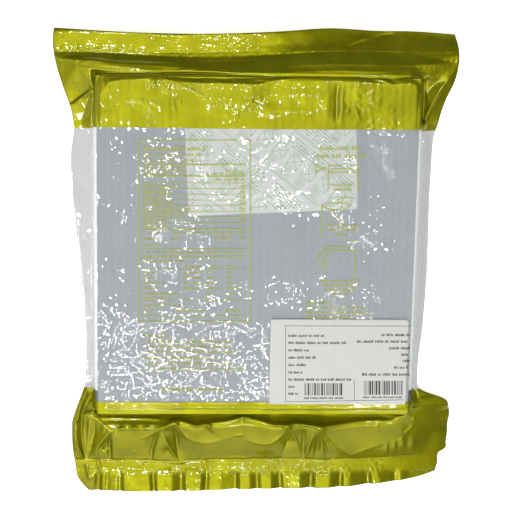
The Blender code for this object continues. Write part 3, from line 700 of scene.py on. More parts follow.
# Crumples of the film: heights and lengths in millimetres, shares of what each zone lets in, and
# the places crumpled most by pixel across, pixel down, radius in millimetres and strength
crumples = {
    "mix": 0.7, "upright": 0.75, "crossed": 1.35, "ring": 0.35, "wrinkleRing": 0.4,
    "sealedBillow": 0.2,  # share of the billows that is left on the flap and the header's strip
    "billow": 0.10, "billowLength": 24.0,
    "pucker": 0.105, "puckerLength": 4.6,
    "wrinkle": 0.003, "wrinkleLength": 1.8,
    "oliveShare": 0.5, "flapShare": 0.05, "weldShare": 0.4, "stripShare": 0.3,
    "dimple": 0.09, "dimpleLength": 3.0, "dimpleLevel": 2.0,  # sparse small bumps
    "washboard": 0.06,
    "even": 0.24, "most": 0.8,
    "places": (
        # header
        (112, 84, 4.5, 0.6), (104, 102, 5, 0.9), (112, 105, 4, 0.8), (155, 84, 5, 0.9), (166, 88, 6, 1.0),
        (151, 101, 5, 1.0), (151, 110, 4, 0.8), (178, 103, 5, 0.8), (207, 88, 3, 0.7), (223, 100, 4, 0.9),
        (240, 90, 6, 0.9), (250, 100, 6, 1.2), (243, 110, 6, 1.0), (232, 113, 4, 0.9), (355, 90, 5, 0.9),
        (368, 100, 8, 1.0), (343, 104, 5, 1.1), (350, 114, 4, 1.2), (390, 108, 4, 1.0), (378, 112, 6, 0.9),
        (394, 82, 3, 0.7),
        # window, left
        (163, 140, 7, 0.9), (115, 150, 5, 0.4), (144, 168, 7, 1.0), (168, 166, 8, 1.0), (120, 180, 5, 0.5),
        (128, 188, 4, 0.8), (165, 180, 6, 0.9), (170, 195, 5, 0.7), (154, 210, 5, 0.8), (126, 216, 6, 0.7),
        (200, 213, 5, 0.9), (150, 226, 5, 0.8), (164, 230, 7, 1.0), (182, 232, 8, 1.2), (196, 232, 6, 1.2),
        (204, 243, 6, 1.2), (184, 248, 6, 1.0), (120, 273, 5, 0.7), (150, 272, 7, 1.2), (168, 272, 7, 1.3),
        (200, 272, 9, 0.9), (205, 288, 8, 0.8), (156, 284, 5, 0.8), (130, 300, 5, 0.8), (205, 303, 8, 0.9),
        (165, 310, 7, 0.9), (220, 316, 5, 0.9), (240, 290, 6, 0.6), (101, 312, 5, 0.8),
        # window, lower left
        (125, 325, 14, 0.9), (170, 325, 16, 0.8), (220, 325, 12, 0.6), (240, 338, 10, 1.2),
        (262, 336, 10, 1.2), (125, 340, 12, 0.8), (155, 345, 18, 1.0), (190, 345, 18, 1.4),
        (225, 350, 18, 1.1), (130, 360, 12, 1.4), (170, 365, 18, 1.3), (205, 365, 18, 1.3),
        (245, 358, 12, 1.1), (265, 350, 10, 0.9), (140, 378, 14, 0.9), (180, 378, 18, 0.8),
        (225, 380, 16, 0.8), (255, 380, 12, 0.9), (125, 395, 12, 1.4), (160, 398, 16, 1.3),
        (185, 396, 12, 1.5), (215, 398, 14, 1.0), (250, 398, 14, 1.0),
        # over the sachet and the right column
        (262, 163, 7, 1.4), (278, 170, 6, 1.3), (272, 196, 6, 1.4), (278, 208, 4, 1.3), (295, 212, 8, 0.8),
        (306, 160, 4, 0.8), (205, 176, 7, 0.8), (212, 195, 6, 0.6), (352, 160, 5, 1.2), (380, 130, 8, 1.4),
        (392, 130, 6, 1.4), (384, 145, 6, 1.2), (372, 150, 4, 1.1), (387, 168, 6, 1.3), (342, 212, 6, 1.3),
        (336, 226, 5, 1.3), (350, 226, 5, 1.2), (370, 220, 6, 1.2), (358, 245, 6, 1.9), (388, 244, 5, 1.6),
        (375, 238, 6, 1.4), (388, 203, 5, 1.0), (275, 294, 6, 1.4), (286, 294, 6, 1.5), (303, 292, 6, 1.2),
        (308, 300, 6, 1.1), (325, 292, 6, 1.3), (333, 298, 6, 1.4), (322, 306, 6, 1.2), (338, 312, 6, 1.1),
        (352, 310, 5, 1.2), (366, 292, 5, 1.1), (372, 292, 5, 1.1), (366, 308, 6, 1.0), (380, 305, 5, 1.0),
        (352, 290, 4, 1.0),
        # weld of the flap
        (128, 460, 8, 1.2), (140, 461, 8, 1.0), (152, 460, 6, 1.0), (180, 462, 8, 1.2), (208, 466, 8, 1.4),
        (222, 452, 8, 0.8), (250, 456, 8, 0.8), (276, 464, 8, 1.2), (296, 470, 8, 1.2), (318, 468, 8, 1.2),
        (292, 455, 6, 1.0), (332, 455, 8, 1.4), (346, 470, 5, 0.9), (376, 468, 5, 0.9), (86, 470, 6, 1.0),
        (110, 472, 6, 0.9),
        # sealed strip, zip and lip
        (66, 38, 6, 0.9), (92, 41, 6, 0.8), (112, 43, 5, 0.7), (150, 35, 8, 0.9), (180, 36, 8, 0.9),
        (168, 43, 6, 0.8), (200, 38, 6, 0.7), (228, 43, 8, 1.0), (250, 40, 6, 0.8), (130, 56, 8, 0.8),
        (165, 62, 9, 0.9), (150, 68, 7, 0.8), (205, 68, 6, 0.6), (100, 66, 6, 0.7), (75, 62, 5, 0.8),
        # ledge under the window
        (112, 407, 7, 0.7), (135, 409, 6, 0.8), (160, 406, 7, 0.7), (190, 409, 7, 0.8), (218, 405, 6, 1.0),
        (250, 408, 6, 0.7), (275, 410, 5, 1.0), (305, 408, 7, 0.6), (345, 410, 7, 0.6), (385, 409, 6, 0.6),
    ),
}

# Upright flutes of the sealed strip: (pixel across, height), rising slowly and falling off steeply
fluteStrip = {
    "stations": (
        (70, 0.2), (80, 0.3), (93.5, 0.7), (99.6, -0.5), (102.0, 0.5), (105.4, 0.6), (107.4, -0.2),
        (109.4, 0.3), (117, 0.5), (120.8, -0.5), (122.8, 0.6), (135, 0.6), (149.4, 0.7), (153.6, -0.5),
        (156, 0.7), (171.6, 0.9), (182.0, -1.0), (185, 0.6), (200.6, 0.8), (207.2, -0.6), (209.6, 0.5),
        (213, 0.3), (219.8, 0.4), (236.2, -1.2), (239, 0.6), (249.4, 0.7), (257.2, -0.7), (260, 0.6),
        (270.2, 0.7), (280.0, -1.0), (283, 0.4), (290, 0.1), (293, 0.5), (299.6, 0.6), (311.8, -1.3),
        (314.6, 0.7), (329.6, 0.9), (340.8, -1.0), (343.4, 0.6), (350.2, 0.6), (368.6, -1.4), (371.4, 0.5),
        (379.4, 0.6), (396, -0.8), (399, 0.1), (401, 0.1), (409, -0.5), (424, -0.6), (445, -0.8),
    ),
    "top": 468.0, "length": 7.0, "lean": 0.06, "leanRow": 475.0, "leanLength": 19.0,
    "gain": 1.25, "level": 7.0,
}

# Draw lines along the zip: (pixel across, pixel down) of its middle, pixels either side of it,
# pixels from line to line, millimetres
zipLines = {
    "middle": (
        (50, 54), (90, 55), (117, 57), (150, 59.5), (184, 61), (210, 61), (240, 60), (265, 58.5),
        (290, 57), (330, 55), (370, 55.5), (411, 57), (460, 57),
    ),
    "reach": 13.0, "pitch": 2.3, "height": 0.10, "level": 15.0, "fade": 4.0,
    "patchLength": 14.0, "patchDepth": 0.4,
}


def fluteRipple():
    # Height of the nearest stations, let in below the strip's top line; the flutes lean outwards
    px, py = toPhoto(gridX, gridY, fluteStrip["level"])
    strength = ease((py - fluteStrip["top"]) / fluteStrip["length"])
    lean = fluteStrip["lean"] * (py - fluteStrip["leanRow"])
    leaning = px - lean * np.sin(px / fluteStrip["leanLength"])
    places, values = np.array(fluteStrip["stations"]).T
    return fluteStrip["gain"] * np.interp(leaning, places, values) * strength


def zipStreaks():
    # Draw lines along the zip: a random profile across it, level along its middle line
    px, py = toPhoto(gridX, gridY, zipLines["level"])
    places, middles = np.array(zipLines["middle"]).T
    across = py - np.interp(px, places, middles)
    count = int(zipLines["reach"] * 2.0 / zipLines["pitch"])
    profile = rng.standard_normal(count)
    spread = np.linspace(-zipLines["reach"], zipLines["reach"], count)
    strength = ease((zipLines["reach"] - np.abs(across)) / zipLines["fade"])
    patches = zipLines["patchDepth"] * ripples(zipLines["patchLength"], 0.5, 0.2)
    patches = 1.0 - zipLines["patchDepth"] + patches
    return zipLines["height"] * np.interp(across, spread, profile) * strength * patches


def labelHeight(x, y):
    # The sheet's base, a slow wave sin x sin y and a finer one sin (x + y)
    wave = label["wave"] * np.sin(x / 9.0 + 0.6) * np.sin(y / 7.0)
    return label["base"] + wave + label["fineWave"] * np.sin(x / 3.7 + y / 5.0)


def nearRuns(runs, reach):
    # 1 on the creases and falling to 0 beside them: their cells set to one, blurred and capped
    cells = np.zeros_like(gridX)
    step = raster["step"]
    for run in runs:
        x, y, _ = np.array(run).T
        travelled = np.concatenate(([0.0], np.cumsum(np.hypot(np.diff(x), np.diff(y)))))
        stations = np.arange(0.0, travelled[-1], step / 2)
        columns = ((np.interp(stations, travelled, x) - raster["x0"]) / step).round().astype(int)
        rows = ((np.interp(stations, travelled, y) - raster["y0"]) / step).round().astype(int)
        known = (columns >= 0) & (columns < cells.shape[1]) & (rows >= 0) & (rows < cells.shape[0])
        cells[rows[known], columns[known]] = 1.0
    return np.clip(softened(cells, reach) * reach * math.sqrt(2.0 * math.pi) / step, 0.0, 1.0)


def applyNet(heights, net, weight):
    # Blend of a crisp and a curved copy of the net, let in by the weight
    runs = [placedRun(run) for run in net["runs"]] + list(net.get("hidden", ()))
    raw = netHeights(runs, heights)
    crisp = softened(raw, net["creaseRadius"])
    curved = softened(raw, net["curveRadius"])
    near = nearRuns(runs, net["reach"])
    share = net["between"] + (net["crisp"] - net["between"]) * near
    shaped = share * crisp + (1.0 - share) * curved
    if "calm" in net:
        above = ease((gridY - net["calm"]["from"]) / net["calm"]["over"])
        shaped = shaped * (1.0 - above) + softened(raw, net["calm"]["radius"]) * above
    if "relief" in net:
        below = ease((net["relief"]["from"] - gridY) / net["relief"]["over"])
        shaped = shaped + net["relief"]["gain"] * (shaped - softened(raw, net["relief"]["radius"])) * below
    return heights * (1.0 - weight) + shaped * weight


# Where the film is tight, slack or welded, in millimetres, and how softly each is let in
filmZones = {
    "windowOver": 8.0, "windowPast": 4.0, "windowFoot": 3.0,
    "finStart": 101.0, "finOver": 6.0,
    "sachetSoft": 1.2, "foldSoft": 0.35, "fluteSoft": 0.75, "streakSoft": 0.3,
    "tightFrom": -108.0, "tightTo": 105.0, "tightOver": 3.0,
    "weldFrom": -137.0, "weldOver": 4.0,
    "stripFrom": 109.0, "stripOver": 3.0,
    "streakFrom": 108.0, "streakOver": 2.0,
    "stripesFrom": 66.0, "stripesOver": 10.0,
    "stripesMiddle": -70.0, "stripesHalf": 30.0, "stripesFade": 20.0, "stripesLoss": 0.6,
    "leastOver": 0.22, "boardMargin": 0.7,
}


def windowShare(past, over):
    # 1 in the clear window, eased to 0 beyond its two edges
    top = ease((printEdge["top"] + filmZones["windowPast"] - gridY) / filmZones["windowOver"])
    return top * ease((gridY - printEdge["bottom"] - past) / over)


def tightShare():
    # 1 between the flap and the header, eased to 0 at both
    low = ease((gridY - filmZones["tightFrom"]) / filmZones["tightOver"])
    return low * (1.0 - ease((gridY - filmZones["tightTo"]) / filmZones["tightOver"]))


def makeShape(overBoard):
    # Base, both nets, the sachet's lift, the hanging fin, single folds and swells, one on another
    heights = baseHeight(gridX, gridY)
    heights = applyNet(heights, headerNet, ease((gridY - headerNet["start"]) / headerNet["fade"]))
    heights = applyNet(heights, flapNet, ease((flapNet["start"] - gridY) / flapNet["fade"]))
    heights = heights + softened(sachetLift(gridX, gridY) * overBoard, filmZones["sachetSoft"])
    hanging = ease((gridX - filmZones["finStart"]) / filmZones["finOver"])
    window = windowShare(filmZones["windowPast"], filmZones["windowOver"])
    heights = heights - film["finFall"] * hanging * window
    return heights + softened(foldHeights(plateauFolds), filmZones["foldSoft"]) + blobs(swells)


def crumpled(heights, pressed):
    # Ring noise of four lengths, each let in where the film is slack: billows everywhere, puckers
    # and wrinkles by the places' strengths and the zone's share, and sparse dimples
    tight = tightShare()
    loose = crumples["even"] + np.minimum(blobs(crumples["places"]), crumples["most"])
    loose = loose * pressed
    billows = crumples["billow"] * ripples(crumples["billowLength"])
    let = crumples["sealedBillow"] + (1.0 - crumples["sealedBillow"]) * tight
    heights = heights + billows * pressed * let
    upright = ripples(crumples["puckerLength"], crumples["ring"], crumples["upright"])
    crossed = ripples(crumples["puckerLength"], crumples["ring"], crumples["crossed"])
    wrinkle = crumples["wrinkle"] * ripples(crumples["wrinkleLength"], crumples["wrinkleRing"])
    weld = ease((filmZones["weldFrom"] - gridY) / filmZones["weldOver"])
    share = crumples["flapShare"] + (crumples["oliveShare"] - crumples["flapShare"]) * tight
    share = share + (1.0 - crumples["oliveShare"]) * windowShare(0.0, filmZones["windowFoot"])
    share = share + crumples["weldShare"] * weld
    share = share + crumples["stripShare"] * ease((gridY - filmZones["stripFrom"]) / filmZones["stripOver"])
    puckers = crumples["pucker"] * crumples["mix"] * (upright + crossed)
    heights = heights + (puckers + wrinkle) * loose * share
    dimples = np.maximum(ripples(crumples["dimpleLength"]) - crumples["dimpleLevel"], 0.0)
    return heights + crumples["dimple"] * dimples * pressed * tight


def boardStripes(overBoard, pressed):
    # The board's flutes press through the header: a cosine across, let in by a band
    stripes = np.cos(2.0 * math.pi * gridX / board["flutePitch"])
    beyond = np.abs(gridX - filmZones["stripesMiddle"]) - filmZones["stripesHalf"]
    band = ease((gridY - filmZones["stripesFrom"]) / filmZones["stripesOver"])
    lost = ease(beyond / filmZones["stripesFade"]) * filmZones["stripesLoss"]
    band = overBoard * band * (1.0 - lost)
    return crumples["washboard"] * stripes * band * pressed


def makeBackSurface():
    # Shape, raised to the label's underside near it, then crumples, stripes, flutes and zip lines,
    # and never lower than just over the board
    overBoard = pocketShare(gridX, gridY, film["endWall"]) ** 2
    heights = makeShape(overBoard)
    labelX = np.abs(gridX - label["centre"][0]) - label["width"] / 2
    labelY = np.abs(gridY - label["centre"][1]) - label["length"] / 2
    beside = np.maximum(labelX, labelY)
    pressed = ease((beside + label["under"]) / label["press"])
    meeting = (1.0 - ease(beside / label["meet"])) * overBoard
    underLabel = labelHeight(gridX, gridY) - film["sealOffset"] - label["clear"]
    heights = heights + meeting * np.maximum(underLabel - heights, 0.0)
    heights = crumpled(heights, pressed) + boardStripes(overBoard, pressed)
    heights = heights + softened(fluteRipple(), filmZones["fluteSoft"])
    streaked = ease((gridY - filmZones["streakFrom"]) / filmZones["streakOver"])
    heights = heights + softened(zipStreaks(), filmZones["streakSoft"]) * streaked
    over = np.abs(gridX) < board["halfWidth"] + filmZones["boardMargin"]
    over = over & (np.abs(gridY) < board["halfLength"] + filmZones["boardMargin"])
    return np.where(over, np.maximum(heights, board["top"] + filmZones["leastOver"]), heights)


backSurface = makeBackSurface()
print("back surface worked out", backSurface.shape, backSurface.min(), backSurface.max())


# Meshes

def addMesh(name, points, quads, materials, slots=None):
    # A smooth mesh of four-cornered faces, from arrays of places in millimetres and of corners
    mesh = bpy.data.meshes.new(name)
    mesh.vertices.add(len(points))
    mesh.vertices.foreach_set("co", (np.asarray(points) * mm).astype(np.float32).ravel())
    mesh.loops.add(quads.size)
    mesh.loops.foreach_set("vertex_index", quads.astype(np.int32).ravel())
    mesh.polygons.add(len(quads))
    mesh.polygons.foreach_set("loop_start", np.arange(0, quads.size, 4, dtype=np.int32))
    for material in materials:
        mesh.materials.append(material)
    if slots is not None:
        mesh.polygons.foreach_set("material_index", slots.astype(np.int32))
    mesh.update(calc_edges=True)
    mesh.validate()
    mesh.shade_smooth()
    piece = bpy.data.objects.new(name, mesh)
    bpy.context.scene.collection.objects.link(piece)
    return piece


def gridQuads(rows, columns, first=0):
    # Corners of every cell of a grid of points, anticlockwise seen from +Z
    start = first + np.arange(rows - 1)[:, None] * columns + np.arange(columns - 1)[None, :]
    return np.stack([start, start + 1, start + columns + 1, start + columns], -1).reshape(-1, 4)


filmColumns = 400


def filmPlan(rowPlaces, columns):
    # Rows along Y shared between the left and right outline, waved at both ends, and bent so
    # that the edges of the printed bands fall where the print crosses the walls
    rough = rowPlaces[:, None]
    share = np.linspace(0.0, 1.0, columns)[None, :]
    left = along(leftSide, rough)
    right = along(rightSide, rough)
    x = left + share * (right - left)
    low = np.clip((rough - film["crestY"]) / (film["lowRow"] - film["crestY"]), 0.0, 1.0)
    high = np.clip((rough - film["topSealY"]) / (film["highRow"] - film["topSealY"]), 0.0, 1.0)
    y = rough + low * low * (along(bottomEdge, x) - film["lowRow"])
    y = y + high * (along(topEdge, x) - film["highRow"])
    beside = ease((np.abs(x) - board["halfWidth"]) / printEdge["fade"])
    nearTop = 1.0 - ease(np.abs(rough - printEdge["top"]) / printEdge["reach"])
    nearBottom = 1.0 - ease(np.abs(rough - printEdge["bottom"]) / printEdge["reach"])
    rise = np.where(x < 0.0, printEdge["leftRise"], printEdge["rightRise"])
    y = y - nearTop * beside * printEdge["topDroop"] + nearBottom * beside * rise
    return x, y


def edgeMeeting(x, rows):
    # 0 on the outline of the film, so that both webs meet there, 1 inside it
    share = np.ones_like(x)
    share[:, 0] = 0.0
    share[:, -1] = 0.0
    share[rows <= film["lowRow"], :] = 0.0
    share[rows >= film["highRow"], :] = 0.0
    return share


def makeBackFilm(name, lowPlace, highPlace, rowCount, material):
    # A length of the back film: the plan's grid at the surface's height, half a weld above it
    rows = np.linspace(lowPlace, highPlace, rowCount)
    x, y = filmPlan(rows, filmColumns)
    z = sample(backSurface, x, y) + film["sealOffset"] * edgeMeeting(x, rows)
    points = np.stack([x, y, z], -1).reshape(-1, 3)
    return addMesh(name, points, gridQuads(rowCount, filmColumns), [material])


# Materials

def makeNode(tree, kind, inputs=None, **settings):
    # A node whose inputs are set to values, or linked where the value is another node's socket
    item = tree.nodes.new("ShaderNode" + kind)
    for name, value in settings.items():
        setattr(item, name, value)
    for name, value in (inputs or {}).items():
        if isinstance(value, bpy.types.NodeSocket):
            tree.links.new(value, item.inputs[name])
        else:
            item.inputs[name].default_value = value
    return item


def startMaterial(name):
    # An empty material, its node tree and the object's own coordinates
    material = bpy.data.materials.new(name)
    material.use_nodes = True
    tree = material.node_tree
    tree.nodes.clear()
    place = makeNode(tree, "TexCoord").outputs["Object"]
    return material, tree, place


def endMaterial(tree, shader):
    # The shader as the material's surface
    output = tree.nodes.new("ShaderNodeOutputMaterial")
    tree.links.new(shader, output.inputs["Surface"])


def noiseOf(tree, place, scale, detail=3.0, roughness=0.5, stretch=None):
    # Noise of the given scale, drawn out along an axis where stretch is given
    if stretch is not None:
        place = makeNode(tree, "Mapping", {"Vector": place, "Scale": stretch}).outputs["Vector"]
    inputs = {"Vector": place, "Scale": scale, "Detail": detail, "Roughness": roughness}
    return makeNode(tree, "TexNoise", inputs).outputs["Fac"]


def rangeOf(tree, value, low, high, fromLow=0.3, fromHigh=0.7):
    # A straight line from (fromLow, low) to (fromHigh, high)
    inputs = {"Value": value, "From Min": fromLow, "From Max": fromHigh, "To Min": low, "To Max": high}
    return makeNode(tree, "MapRange", inputs).outputs["Result"]


def mathOf(tree, operation, *values):
    # One sum, product or the like of values or sockets
    return makeNode(tree, "Math", dict(enumerate(values)), operation=operation).outputs[0]


def rampOf(tree, value, stops):
    # A colour for each place between 0 and 1, blended between the stops
    ramp = makeNode(tree, "ValToRGB", {"Fac": value})
    elements = ramp.color_ramp.elements
    while len(elements) < len(stops):
        elements.new(0.5)
    for element, (place, colour) in zip(elements, stops):
        element.position = place
        element.color = (*colour, 1.0)
    return ramp.outputs["Color"]


oliveLook = {
    "dark": (0.265, 0.260, 0.002), "light": (0.335, 0.328, 0.005), "coat": 0.46, "specular": 0.0,
    "metallic": 0.7, "roughLow": 0.36, "roughHigh": 0.46, "coatRoughness": 0.045,
    "tone": 60.0, "smear": 140.0, "grain": 900.0, "grainHeight": 0.00004,
}


def makeOliveFilm():
    # Yellow-green ink under a glossy film: two tones of olive, half metal, with a clear coat
    material, tree, place = startMaterial("oliveFilm")
    tone = noiseOf(tree, place, oliveLook["tone"], 3.0)
    colour = rampOf(tree, tone, ((0.3, oliveLook["dark"]), (0.7, oliveLook["light"])))
    smear = noiseOf(tree, place, oliveLook["smear"])
    rough = rangeOf(tree, smear, oliveLook["roughLow"], oliveLook["roughHigh"])
    grain = noiseOf(tree, place, oliveLook["grain"], 2.0)
    bump = makeNode(tree, "Bump", {"Height": grain, "Distance": oliveLook["grainHeight"], "Strength": 0.5})
    shader = makeNode(tree, "BsdfPrincipled", {
        "Base Color": colour, "Metallic": oliveLook["metallic"], "Roughness": rough, "IOR": 1.5,
        "Specular IOR Level": oliveLook["specular"],
        "Coat Weight": oliveLook["coat"], "Coat Roughness": oliveLook["coatRoughness"], "Coat IOR": 1.5,
        "Normal": bump.outputs["Normal"],
    })
    endMaterial(tree, shader.outputs["BSDF"])
    return material


clearLook = {
    "tint": (0.94, 0.945, 0.94), "haze": (0.80, 0.81, 0.82), "hazeLow": 0.07, "hazeHigh": 0.15,
    "cloud": 90.0, "gloss": 0.04, "mostGloss": 0.22, "index": 1.7,
    "weldHaze": 0.62, "weldStart": 0.0994, "weldEnd": 0.1012,  # the welded fins are whiter
}


def makeClearFilm():
    # Clear film: mostly see-through, a little white haze, and a sharp gloss by Fresnel
    material, tree, place = startMaterial("clearFilm")
    through = makeNode(tree, "BsdfTransparent", {"Color": (*clearLook["tint"], 1.0)})
    haze = makeNode(tree, "BsdfDiffuse", {"Color": (*clearLook["haze"], 1.0)})
    cloud = noiseOf(tree, place, clearLook["cloud"], 4.0)
    amount = rangeOf(tree, cloud, clearLook["hazeLow"], clearLook["hazeHigh"])
    across = makeNode(tree, "SeparateXYZ", {"Vector": place}).outputs["X"]
    across = mathOf(tree, "ABSOLUTE", across)
    welded = rangeOf(tree, across, 0.0, clearLook["weldHaze"], clearLook["weldStart"], clearLook["weldEnd"])
    amount = mathOf(tree, "ADD", amount, welded)
    body = makeNode(tree, "MixShader", {0: amount, 1: through.outputs[0], 2: haze.outputs[0]})
    gloss = makeNode(tree, "BsdfGlossy", {"Roughness": clearLook["gloss"], "Color": (1.0, 1.0, 1.0, 1.0)})
    fresnel = makeNode(tree, "Fresnel", {"IOR": clearLook["index"]}).outputs[0]
    fresnel = mathOf(tree, "MINIMUM", fresnel, clearLook["mostGloss"])
    shader = makeNode(tree, "MixShader", {0: fresnel, 1: body.outputs[0], 2: gloss.outputs[0]})
    endMaterial(tree, shader.outputs[0])
    return material


inkLook = {
    # colour and how much it covers
    "printInk": ((0.72, 0.77, 0.05), 0.9),
    "tealInk": ((0.42, 0.76, 0.70), 0.42),
    "blackInk": ((0.03, 0.03, 0.03), 0.95),
    "tint": (0.95, 0.97, 0.75), "patch": 300.0, "worn": 0.85, "spread": 0.1, "rough": 0.5,
}


def makeInk(name):
    # Thin ink on the inside of the film: part of the light passes, with worn patches
    material, tree, place = startMaterial(name)
    colour, cover = inkLook[name]
    through = makeNode(tree, "BsdfTransparent", {"Color": (*inkLook["tint"], 1.0)})
    patch = noiseOf(tree, place, inkLook["patch"], 3.0)
    worn = tuple(inkLook["worn"] * part for part in colour)
    tone = rampOf(tree, patch, ((0.3, worn), (0.7, colour)))
    ink = makeNode(tree, "BsdfPrincipled", {"Base Color": tone, "Roughness": inkLook["rough"]})
    amount = rangeOf(tree, patch, cover - inkLook["spread"], cover)
    shader = makeNode(tree, "MixShader", {0: amount, 1: through.outputs[0], 2: ink.outputs[0]})
    endMaterial(tree, shader.outputs[0])
    return material


paperLook = {
    # dark and light tone
    "board": ((0.50, 0.54, 0.57), (0.55, 0.59, 0.62)),
    "label": ((0.76, 0.76, 0.725), (0.80, 0.80, 0.765)),
    "sachet": ((0.92, 0.935, 0.915), (0.97, 0.98, 0.96)),
    "flute": ((0.26, 0.23, 0.18), (0.36, 0.32, 0.26)),
    "fibre": 700.0, "cloud": 45.0, "streak": 220.0, "mix": (0.4, 0.3, 0.3), "spread": (0.36, 0.62),
    "relief": 0.00005, "fluteTone": 0.09,
}


def makePaper(name, tones, flutes=0.0, sheen=0.8, fibre=1.0):
    # Paper: fibre noise in colour and height, and the faint upright lines of the flutes behind
    material, tree, place = startMaterial(name)
    fine = noiseOf(tree, place, paperLook["fibre"], 4.0, 0.6, (1.0, 0.45, 1.0))
    cloud = noiseOf(tree, place, paperLook["cloud"], 3.0)
    streak = noiseOf(tree, place, paperLook["streak"], 2.0, 0.5, (1.0, 0.04, 1.0))
    mixed = mathOf(tree, "MULTIPLY", fine, paperLook["mix"][0])
    mixed = mathOf(tree, "MULTIPLY_ADD", cloud, paperLook["mix"][1], mixed)
    mixed = mathOf(tree, "MULTIPLY_ADD", streak, paperLook["mix"][2], mixed)
    height = fine
    if flutes > 0.0:
        axis = makeNode(tree, "SeparateXYZ", {"Vector": place}).outputs["X"]
        turns = mathOf(tree, "MULTIPLY", axis, 2.0 * math.pi / (board["flutePitch"] * mm))
        wave = mathOf(tree, "COSINE", turns)
        mixed = mathOf(tree, "MULTIPLY_ADD", wave, flutes * paperLook["fluteTone"], mixed)
        height = mathOf(tree, "MULTIPLY_ADD", wave, flutes, fine)
    colour = rampOf(tree, mixed, tuple(zip(paperLook["spread"], tones)))
    relief = paperLook["relief"] * fibre
    bump = makeNode(tree, "Bump", {"Height": height, "Distance": relief, "Strength": 0.6})
    shader = makeNode(tree, "BsdfPrincipled", {
        "Base Color": colour, "Roughness": sheen, "Normal": bump.outputs["Normal"],
    })
    endMaterial(tree, shader.outputs["BSDF"])
    return material


noriLook = {
    "tones": ((0.3, (0.006, 0.013, 0.006)), (0.55, (0.018, 0.034, 0.014)), (0.8, (0.05, 0.075, 0.03))),
    "fibre": 260.0, "relief": 0.0002, "roughLow": 0.42, "roughHigh": 0.7,
}


def makeNori():
    # Pressed seaweed: dark green with lighter flecks and a fibrous relief
    material, tree, place = startMaterial("noriSheet")
    fibre = noiseOf(tree, place, noriLook["fibre"], 6.0, 0.65, (1.0, 0.5, 1.0))
    bump = makeNode(tree, "Bump", {"Height": fibre, "Distance": noriLook["relief"], "Strength": 0.8})
    shader = makeNode(tree, "BsdfPrincipled", {
        "Base Color": rampOf(tree, fibre, noriLook["tones"]),
        "Roughness": rangeOf(tree, fibre, noriLook["roughLow"], noriLook["roughHigh"]),
        "Normal": bump.outputs["Normal"],
    })
    endMaterial(tree, shader.outputs["BSDF"])
    return material


zipLook = {
    "tones": ((0.3, (0.70, 0.73, 0.70)), (0.7, (0.82, 0.84, 0.82))),
    "lines": 900.0, "relief": 0.00003, "roughLow": 0.28, "roughHigh": 0.4, "milk": 0.3, "depth": 0.002,
}


def makeZipPlastic():
    # Milky extruded plastic with faint draw lines along its length
    material, tree, place = startMaterial("zipPlastic")
    lines = noiseOf(tree, place, zipLook["lines"], 2.0, 0.5, (0.02, 1.0, 1.0))
    bump = makeNode(tree, "Bump", {"Height": lines, "Distance": zipLook["relief"], "Strength": 0.6})
    shader = makeNode(tree, "BsdfPrincipled", {
        "Base Color": rampOf(tree, lines, zipLook["tones"]),
        "Roughness": rangeOf(tree, lines, zipLook["roughLow"], zipLook["roughHigh"]),
        "Subsurface Weight": zipLook["milk"], "Subsurface Scale": zipLook["depth"],
        "Normal": bump.outputs["Normal"],
    })
    endMaterial(tree, shader.outputs["BSDF"])
    return material


oliveFilm = makeOliveFilm()
clearFilm = makeClearFilm()
printInk = makeInk("printInk")
boardPaper = makePaper("boardPaper", paperLook["board"], flutes=0.5, sheen=0.75)
flutePaper = makePaper("flutePaper", paperLook["flute"])
labelPaper = makePaper("labelPaper", paperLook["label"], sheen=0.45, fibre=0.4)
sachetPaper = makePaper("sachetPaper", paperLook["sachet"], sheen=0.6)
noriMaterial = makeNori()
zipPlastic = makeZipPlastic()
tealInk = makeInk("tealInk")
blackInk = makeInk("blackInk")
print("materials made")


# Back film in three printed lengths, meeting at the edges of the printed bands

filmRows = {"header": 118, "window": 248, "flap": 140}
headerFilm = makeBackFilm("headerFilm", printEdge["top"], film["highRow"], filmRows["header"], oliveFilm)
windowFilm = makeBackFilm("windowFilm", printEdge["bottom"], printEdge["top"], filmRows["window"], clearFilm)
flapFilm = makeBackFilm("flapFilm", film["lowRow"], printEdge["bottom"], filmRows["flap"], oliveFilm)
for piece in (headerFilm, windowFilm, flapFilm):
    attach(piece, "root")
    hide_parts("pouch_back_film")
print("back film made")


# Front film: one web on the floor, its bands printed as the back's are

frontWeb = {
    "columns": 220, "rows": (52, 120, 54),  # flap, window and header
    "flapFrom": -137.0, "flapOver": 6.0,    # welded below this place, in millimetres
    "topFrom": 124.5, "topOver": 2.0,
    "sideFrom": 101.5, "zipReach": 13.5,    # welded beside this place, further out beside the zip
    "zipFrom": 99.0, "zipOver": 6.0, "sideOver": 3.5,
    "below": 0.02, "lowest": 0.05,
}
frontRows = np.concatenate([
    np.linspace(film["lowRow"], printEdge["bottom"], frontWeb["rows"][0])[:-1],
    np.linspace(printEdge["bottom"], printEdge["top"], frontWeb["rows"][1])[:-1],
    np.linspace(printEdge["top"], film["highRow"], frontWeb["rows"][2]),
])


